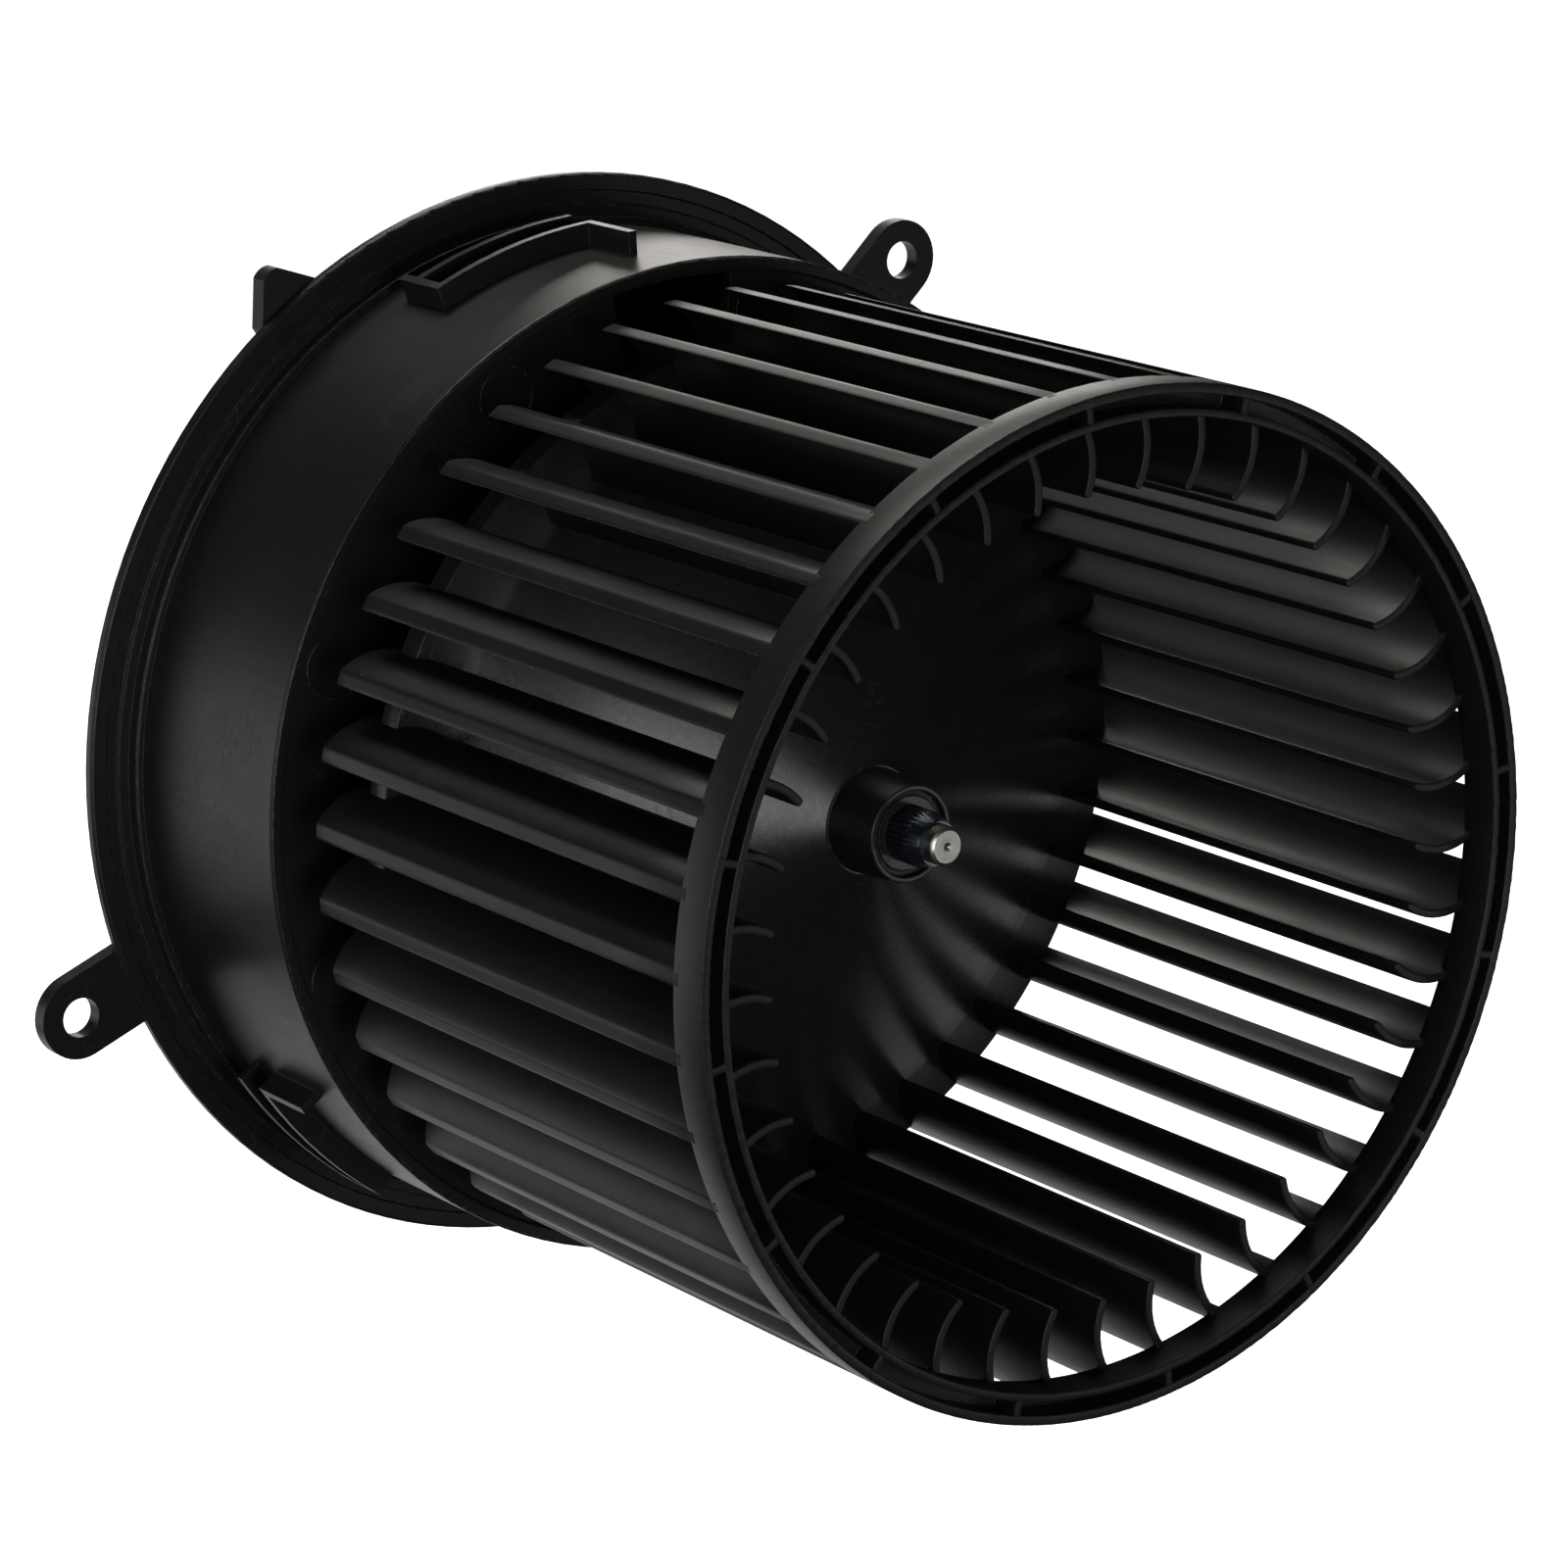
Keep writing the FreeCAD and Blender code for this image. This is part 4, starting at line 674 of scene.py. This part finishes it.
def marks_surface(size):
    """The fine raised line round each ejector mark in the housing's floor."""
    _, lip = stations("flange_housing")
    circle = far_radius("wheel_rim") + size.collar_step - size.mark_inset
    floor = lip - size.floor_drop
    turn = np.linspace(0, TURN, 72, endpoint=False)[:, None]
    bend = np.linspace(0, TURN, 8, endpoint=False)[None, :]
    made = Surface()
    for number in range(size.mark_count):
        angle = size.mark_turn + number * TURN / size.mark_count
        reach = size.mark_radius + size.mark_rim * np.cos(bend)
        x = circle * math.cos(angle) + reach * np.cos(turn)
        z = circle * math.sin(angle) + reach * np.sin(turn)
        y = -(floor + size.mark_rim * np.sin(bend)) + 0 * turn
        made.add(np.stack([x, y, z], axis=-1), wrap_rows=True)
    return made


# ---------------------------------------------------------------- finishes


def times(base, factor, most=math.inf):
    """A colour made paler or darker by a factor, each channel held at most."""
    return [min(most, channel * factor) for channel in base]


# wear_and_highlight is the pale colour of scuffs, dust and scratches, and also of the painted edge highlights
# and glints
def moulded(name, base, wear_and_highlight, rough=0.42, grain=1.0, streak=(1, 1, 1), edge=0.16 * MM, shine=0.36):
    """Moulded plastic: fine grain, die lines and scuffs along streak, specks of dust, hair scratches,
    and edges painted paler, partly as rubbed wear and partly as painted edge highlight, with bright nicks
    that are partly painted edge glints."""
    g = Graph(name)
    cloud = g.noise(38, 5)
    fine = g.noise(2600, 3, 0.6)
    along = g.stretched(streak)
    lines = g.noise(900, 6, 0.7, along)
    scuff = g.noise(420, 8, 0.75, along).clipped(0.60, 0.76)
    speck = g.node("ShaderNodeTexVoronoi", {"feature": "F1"}, g.place(), Scale=620)
    dust = (1 - speck.clipped(0.03, 0.12)) * g.noise(110, 3).clipped(0.46, 0.62)
    rounded_normal, lean = g.edges(edge)
    # edges painted paler: partly rubbed wear, partly painted edge highlight
    rub_and_edge_highlight = (lean * g.noise(700, 6).clipped(0.25, 0.7)).clipped(0.015, 0.22)
    # bright specks along the edges: partly nicks, partly painted edge glints
    nick_and_edge_glint = lean.clipped(0.01, 0.08) * g.noise(1300, 4, 0.7).clipped(0.52, 0.60)
    hair = g.noise(260, 2, 0.5, g.stretched((1, 9, 1), turn=(0.5, 0.3, 0.9)))
    scratch = (1 - abs(hair - 0.5).clipped(0.0, 0.006)) * g.noise(60, 2).clipped(0.50, 0.66)
    tint = g.mix(cloud, base, times(base, 1.7))
    tint = g.mix(scuff * 0.2 + dust * 0.45, tint, wear_and_highlight)
    tint = g.mix(scratch * 0.35, tint, wear_and_highlight)
    # these two mixes paint the pale edges: rubbed wear with painted edge highlight, and nicks with painted
    # edge glints
    tint = g.mix(rub_and_edge_highlight * 0.6, tint, wear_and_highlight)
    tint = g.mix(nick_and_edge_glint * 0.8, tint, times(wear_and_highlight, 2.6))
    gloss = cloud * 0.16 + lines * 0.14 + rub_and_edge_highlight * 0.12 + scratch * 0.15 + (rough - 0.14)
    height = fine * (0.9 * grain) + lines * 0.8 - scratch * 0.8
    normal = g.bump(height, 0.45, 0.05 * MM, rounded_normal)
    return g.finish(Base_Color=tint, Roughness=gloss, Normal=normal, Specular_IOR_Level=shine)


def rubbery(name, base):
    """Soft rubber: matt, with a dusty bloom in broad patches."""
    g = Graph(name)
    bloom = g.noise(120, 6).clipped(0.45, 0.7)
    tint = g.mix(bloom * 0.5, base, times(base, 4))
    return g.finish(Base_Color=tint, Roughness=0.62 + bloom * 0.2,
                    Normal=g.bump(g.noise(3000, 3), 0.4, 0.04 * MM))


def plated(name, base, rough=0.28, streak=(1, 1, 1), dark=0.35):
    """Metal with drawing marks along streak, and dull patches that are also darker."""
    g = Graph(name)
    marks = g.noise(1500, 6, 0.7, g.stretched(streak))
    patch = g.noise(70, 5)
    rounded_normal, lean = g.edges(0.25 * MM)
    tint = g.mix(patch * dark, base, times(base, 0.35))
    tint = g.mix((lean * 6).clipped(0.0, 1.0) * 0.5, tint, times(base, 1.5, most=1.0))
    return g.finish(Base_Color=tint, Metallic=1.0, Roughness=rough + marks * 0.16 + patch * 0.08 - 0.08,
                    Normal=g.bump(marks, 0.25, 0.03 * MM, rounded_normal))


def turned_steel(name, base):
    """Ground shaft whose end shows fine rings: waves of the distance from the shaft's axis."""
    g = Graph(name)
    flat = g.node("ShaderNodeVectorMath", {"operation": "MULTIPLY"}, g.place(), (1, 0, 1))
    reach = g.node("ShaderNodeVectorMath", {"operation": "LENGTH"}, flat, output="Value")
    radians_per_metre = 42000  # puts the rings 0.15 mm apart
    rings = (reach * radians_per_metre).sine()
    centre = 1 - reach.clipped(0.0, 0.8 * MM)
    stain = g.noise(900, 5)
    tint = g.mix(centre * 0.75, g.mix(stain * 0.35, base, times(base, 0.55)), times(base, 0.2))
    return g.finish(Base_Color=tint, Metallic=1.0, Roughness=0.24 + stain * 0.14,
                    Normal=g.bump(rings + g.noise(4000, 3), 0.12, 0.02 * MM))


def blued_steel(name, base):
    """Blue-black spring steel under oil: hue drifts between blue, violet and straw."""
    g = Graph(name)
    drift = g.noise(330, 3)
    tint = g.mix(drift.clipped(0.4, 0.65), base, [base[0] * 2.2, base[1] * 1.4, base[2] * 1.5])
    return g.finish(Base_Color=tint, Metallic=0.85, Roughness=0.26 + g.noise(1400, 4) * 0.14, Coat_Weight=0.5,
                    Coat_Roughness=0.1, Normal=g.bump(g.noise(2600, 4), 0.2, 0.03 * MM))


def wound(name, base):
    """Enamelled wire: close bands of fine turns with a clear gloss; the grooves between turns are painted
    darker as shade.
    """
    g = Graph(name)
    turns = g.node("ShaderNodeTexWave", {"wave_type": "BANDS", "bands_direction": "DIAGONAL"}, g.place(),
                   Scale=420, Distortion=1.2, Detail=2.0)
    # painted shade: the colour is darker in the grooves between turns, where the bump is low
    tint = g.mix(turns, times(base, 0.35), base)
    return g.finish(Base_Color=tint, Metallic=0.8, Roughness=0.24 + turns * 0.1, Coat_Weight=0.6,
                    Normal=g.bump(turns, 0.6, 0.12 * MM))


def sintered(name, base, metallic=0.0, rough=0.55):
    """Pressed powder: pores and a fine sandy grain."""
    g = Graph(name)
    pores = g.node("ShaderNodeTexVoronoi", {"feature": "F1"}, g.place(), Scale=2600)
    patch = g.noise(200, 5)
    tint = g.mix(patch, times(base, 0.6), times(base, 1.4, most=1.0))
    return g.finish(Base_Color=tint, Metallic=metallic, Roughness=rough + patch * 0.15,
                    Normal=g.bump(pores, 0.35, 0.05 * MM))


def make_finishes(f):
    """Every finish by its name: one for each material slot in the record, and the hub pips' own."""
    black, grey, zinc = tuple(f.black), tuple(f.grey), tuple(f.zinc)
    carbon, phenolic = tuple(f.carbon), tuple(f.phenolic)
    makers = {
        "wheel_plastic": (moulded, black, dict(wear_and_highlight=grey, rough=0.40, streak=(1, 0.06, 1))),
        "housing_plastic": (moulded, black, dict(wear_and_highlight=grey, rough=0.36, grain=0.8, streak=(1, 0.15, 1))),
        "hub_plastic": (moulded, black, dict(wear_and_highlight=grey, rough=0.27, grain=0.2, shine=0.45)),
        # the pips' paler colour is a painted glint; their low roughness gives real glints as well
        "rubbed_plastic": (moulded, times(grey, 0.9), dict(wear_and_highlight=grey, rough=0.2, grain=0.0)),
        "cover_plastic": (moulded, times(black, 1.3), dict(wear_and_highlight=grey, rough=0.46, grain=1.4)),
        "socket_plastic": (moulded, tuple(f.socket), dict(wear_and_highlight=grey, rough=0.40)),
        "shaft_steel": (turned_steel, tuple(f.steel), {}),
        "blued_steel": (blued_steel, tuple(f.blued), {}),
        "can_steel": (plated, zinc, dict(rough=0.30, streak=(1, 0.05, 1))),
        "screw_steel": (plated, zinc, dict(rough=0.26)),
        "core_steel": (plated, times(zinc, 0.5), dict(rough=0.4, streak=(0.05, 4, 0.05))),
        "ferrite": (sintered, times(carbon, 1.8), {}),
        "copper": (wound, tuple(f.copper), {}),
        "bronze": (sintered, tuple(f.bronze), dict(metallic=1.0, rough=0.4)),
        "brass": (plated, tuple(f.brass), dict(rough=0.24, streak=(1, 1, 0.1), dark=0.5)),
        "carbon": (sintered, carbon, dict(metallic=0.2, rough=0.45)),
        "card": (sintered, phenolic, dict(rough=0.5)),
        "sleeve": (sintered, times(phenolic, 0.6), dict(rough=0.45)),
        "rubber": (rubbery, tuple(f.rubber), {}),
        "ceramic": (moulded, tuple(f.ceramic), dict(wear_and_highlight=(0.6, 0.4, 0.2), rough=0.3, grain=0.3)),
        "tin": (plated, tuple(f.tin), dict(rough=0.22, streak=(1, 0.1, 1))),
    }
    return {name: maker(name, base, **looks) for name, (maker, base, looks) in makers.items()}


FINISHES = {}


def finish(name):
    """A finish by its name; all are made at the first call."""
    if not FINISHES:
        FINISHES.update(make_finishes(bpy.context.scene.blower_finishes))
    return FINISHES[name]


# ---------------------------------------------------------------- operators


class BLOWER_OT_frame_finishes(bpy.types.Operator):
    """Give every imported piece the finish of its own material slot"""

    bl_idname = "blower.frame_finishes"
    bl_label = "Finish the packed pieces"

    def execute(self, context):
        slots = {part["node"]: part["material_slot"] for part in frame["record"]["subparts"]}
        for node, piece in frame["nodes"].items():
            piece.data.materials.clear()
            piece.data.materials.append(finish(slots[node]))
        return {"FINISHED"}


class BLOWER_OT_rim(bpy.types.Operator):
    """Build the wheel's rim with its two rings, webs and ragged front edge"""

    bl_idname = "blower.rim"
    bl_label = "Rim"

    def execute(self, context):
        made = rim_surface(context.scene.blower_wheel).piece("rim", "wheel", "wheel_plastic")
        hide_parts("wheel_rim")
        return {"FINISHED"}


class BLOWER_OT_blades(bpy.types.Operator):
    """Build the cage of curved blades with rounded noses and ends"""

    bl_idname = "blower.blades"
    bl_label = "Blades"

    def execute(self, context):
        made = blades_surface(context.scene.blower_wheel).piece("blades", "wheel", "wheel_plastic")
        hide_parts("wheel_blades")
        return {"FINISHED"}


class BLOWER_OT_hub(bpy.types.Operator):
    """Build the domed hub with its boss, and the small marks that the mould left on it"""

    bl_idname = "blower.hub"
    bl_label = "Hub"

    def execute(self, context):
        size = context.scene.blower_wheel
        made = hub_surface(size).piece("hub", "wheel", "hub_plastic")
        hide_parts("wheel_hub")
        # the pips are painted paler as glints
        pips_surface(size).piece("hub_pips", "wheel", "hub_plastic", look="rubbed_plastic")
        boss_rings_surface(size).piece("boss_rings", "wheel", "hub_plastic")
        return {"FINISHED"}


class BLOWER_OT_shaft(bpy.types.Operator):
    """Build the ground shaft with its turned end, and the serrated push nut"""

    bl_idname = "blower.shaft"
    bl_label = "Shaft and push nut"

    def execute(self, context):
        shaft = shaft_surface().piece("shaft", "wheel", "shaft_steel")
        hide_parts("motor_shaft")
        nut = retainer_surface().piece("push_nut", "wheel", "blued_steel")
        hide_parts("shaft_retainer")
        return {"FINISHED"}


class BLOWER_OT_brush_springs(bpy.types.Operator):
    """Build the two coil springs, each pressed between its brush and the end of its tube"""

    bl_idname = "blower.brush_springs"
    bl_label = "Brush springs"

    def execute(self, context):
        size = context.scene.blower_wheel
        for side, near, far in (("upper", 0, 1), ("lower", 1, 0)):
            node = f"brush_spring_{side}"
            made = spring_surface(size, node).piece(f"{side}_spring", None, "screw_steel")
            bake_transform(made)
            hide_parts(node)
        return {"FINISHED"}


class BLOWER_OT_housing(bpy.types.Operator):
    """Add the housing's die lines, flash and the raised lines round its ejector marks"""

    bl_idname = "blower.housing"
    bl_label = "Housing details"

    def execute(self, context):
        size = context.scene.blower_housing
        housing_lines_surface(size).piece("housing_lines", "housing", "housing_plastic")
        marks_surface(size).piece("housing_marks", "housing", "housing_plastic")
        return {"FINISHED"}


MIDDLE = (0.0, -0.05, 0.0)  # about the middle of the blower, which the lamps face
WARM, PLAIN, COOL = (1.0, 0.97, 0.91), (1.0, 1.0, 1.0), (0.98, 0.965, 1.0)

SOFTBOXES = (
    # name, place, aim, width and height in metres, power in watts, tint
    ("left_box", (-1.25, -0.15, 0.10), MIDDLE, 0.22, 0.9, 3.4, COOL),
    ("top_box", (0.15, 0.5, 1.2), MIDDLE, 0.9, 0.5, 8, WARM),
    ("mouth_box", (-0.35, -1.4, -0.02), MIDDLE, 0.6, 0.7, 6, PLAIN),
    ("back_box", (0.8, 1.2, 0.5), MIDDLE, 0.6, 0.4, 3.4, WARM),
    ("right_box", (0.40, -0.05, -0.24), MIDDLE, 0.25, 0.25, 0.06, PLAIN),
    ("tip_box", (0.461, -0.688, -0.213), MIDDLE, 0.24, 0.2, 0.3, PLAIN),
    ("low_box", (0.05, 0.32, -0.24), (-0.08, -0.05, -0.05), 0.6, 0.5, 0.8, COOL),
    ("left_back_box", (-0.8, 0.9, -0.15), MIDDLE, 0.8, 0.6, 1.6, COOL),
)

FLOOR_DROP = 0.16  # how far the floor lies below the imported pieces
FLOOR_REACH = 4.0
FLOOR_GLOW = 1.05
WORLD_LIGHT, WORLD_SEEN = 0.035, 1.1  # the world's strength as a light and as the camera sees it

LENS, SENSOR = 124.04, 36.0  # in millimetres
CAMERA_PLACE = (-0.4761, -0.6887, 0.2198)
CAMERA_TILT, CAMERA_TURN = math.radians(90 - 15.51), math.radians(-37.105)
NEAREST = 0.05  # where the camera's view starts


def softbox(name, place, aim, width, height, power, tint):
    """A rectangular lamp at a place, turned to face aim."""
    lamp = bpy.data.lights.new(name, "AREA")
    lamp.shape = "RECTANGLE"
    lamp.size, lamp.size_y = width, height
    lamp.energy = power
    lamp.color = tint
    made = bpy.data.objects.new(name, lamp)
    made.location = place
    made.rotation_euler = (Vector(aim) - Vector(place)).to_track_quat("-Z", "Y").to_euler()
    made.visible_camera = False
    bpy.context.scene.collection.objects.link(made)


def pale_world():
    """An even pale surrounding: white where the camera looks straight at it, dimmer as a light."""
    world = bpy.data.worlds.new("studio")
    bpy.context.scene.world = world
    world.use_nodes = True
    tree = world.node_tree
    back = tree.nodes["Background"]
    back.inputs["Color"].default_value = rgba(PLAIN)
    path = tree.nodes.new("ShaderNodeLightPath")
    level = tree.nodes.new("ShaderNodeMapRange")
    level.inputs["To Min"].default_value = WORLD_LIGHT
    level.inputs["To Max"].default_value = WORLD_SEEN
    tree.links.new(path.outputs["Is Camera Ray"], level.inputs["Value"])
    tree.links.new(level.outputs["Result"], back.inputs["Strength"])


def make_floor(level, rows=24, columns=3):
    """A wide, flat, pale floor that glows a little and that only the camera sees."""
    across = np.linspace(-FLOOR_REACH, FLOOR_REACH, columns)[None, :]
    along = np.linspace(-FLOOR_REACH, FLOOR_REACH, rows)[:, None]
    grid = np.stack(np.broadcast_arrays(across, along, level), axis=-1)
    faces = grid_faces(rows, columns, False, False)[:, ::-1]
    mesh = bpy.data.meshes.new("floor")
    mesh.from_pydata(grid.reshape(-1, 3).tolist(), [], faces.tolist())
    floor = bpy.data.objects.new("floor", mesh)
    bpy.context.scene.collection.objects.link(floor)
    paper = Graph("floor_paper")
    mesh.materials.append(paper.finish(Base_Color=rgba((0.93, 0.93, 0.93)), Roughness=0.75,
                                       Emission_Color=rgba(PLAIN), Emission_Strength=FLOOR_GLOW))
    floor.visible_diffuse = floor.visible_glossy = False


class BLOWER_OT_stage(bpy.types.Operator):
    """Set up the pale floor, the soft studio light and the camera"""

    bl_idname = "blower.stage"
    bl_label = "Stage"

    def execute(self, context):
        make_floor(CAD_BOX[0][2] - FLOOR_DROP)
        pale_world()
        for row in SOFTBOXES:
            softbox(*row)
        lens = bpy.data.cameras.new("camera")
        lens.lens, lens.sensor_width = LENS, SENSOR
        lens.clip_start = NEAREST
        camera = bpy.data.objects.new("camera", lens)
        camera.location = CAMERA_PLACE
        camera.rotation_euler = (CAMERA_TILT, 0.0, CAMERA_TURN)
        context.scene.collection.objects.link(camera)
        context.scene.camera = camera
        context.scene.view_settings.view_transform = "Standard"
        return {"FINISHED"}


OPERATORS = (
    BLOWER_OT_frame_finishes,
    BLOWER_OT_rim,
    BLOWER_OT_blades,
    BLOWER_OT_hub,
    BLOWER_OT_shaft,
    BLOWER_OT_brush_springs,
    BLOWER_OT_housing,
    BLOWER_OT_stage,
)


class BLOWER_PT_panel(bpy.types.Panel):
    """Lists the steps that finish the blower"""

    bl_idname = "BLOWER_PT_panel"
    bl_label = "Blower wheel"
    bl_space_type = "VIEW_3D"
    bl_region_type = "UI"
    bl_category = "Blower"

    def draw(self, context):
        for operator in OPERATORS:
            self.layout.operator(operator.bl_idname)


GROUPS = (WheelSizes, HousingSizes, Finishes)


def register():
    for kind in (*GROUPS, *OPERATORS, BLOWER_PT_panel):
        bpy.utils.register_class(kind)
    bpy.types.Scene.blower_wheel = PointerProperty(type=WheelSizes)
    bpy.types.Scene.blower_housing = PointerProperty(type=HousingSizes)
    bpy.types.Scene.blower_finishes = PointerProperty(type=Finishes)


def unregister():
    del bpy.types.Scene.blower_finishes
    del bpy.types.Scene.blower_housing
    del bpy.types.Scene.blower_wheel
    for kind in reversed((*GROUPS, *OPERATORS, BLOWER_PT_panel)):
        bpy.utils.unregister_class(kind)


def main():
    register()
    for operator in OPERATORS:
        group, name = operator.bl_idname.split(".")
        getattr(getattr(bpy.ops, group), name)()


if __name__ == "__main__":
    main()
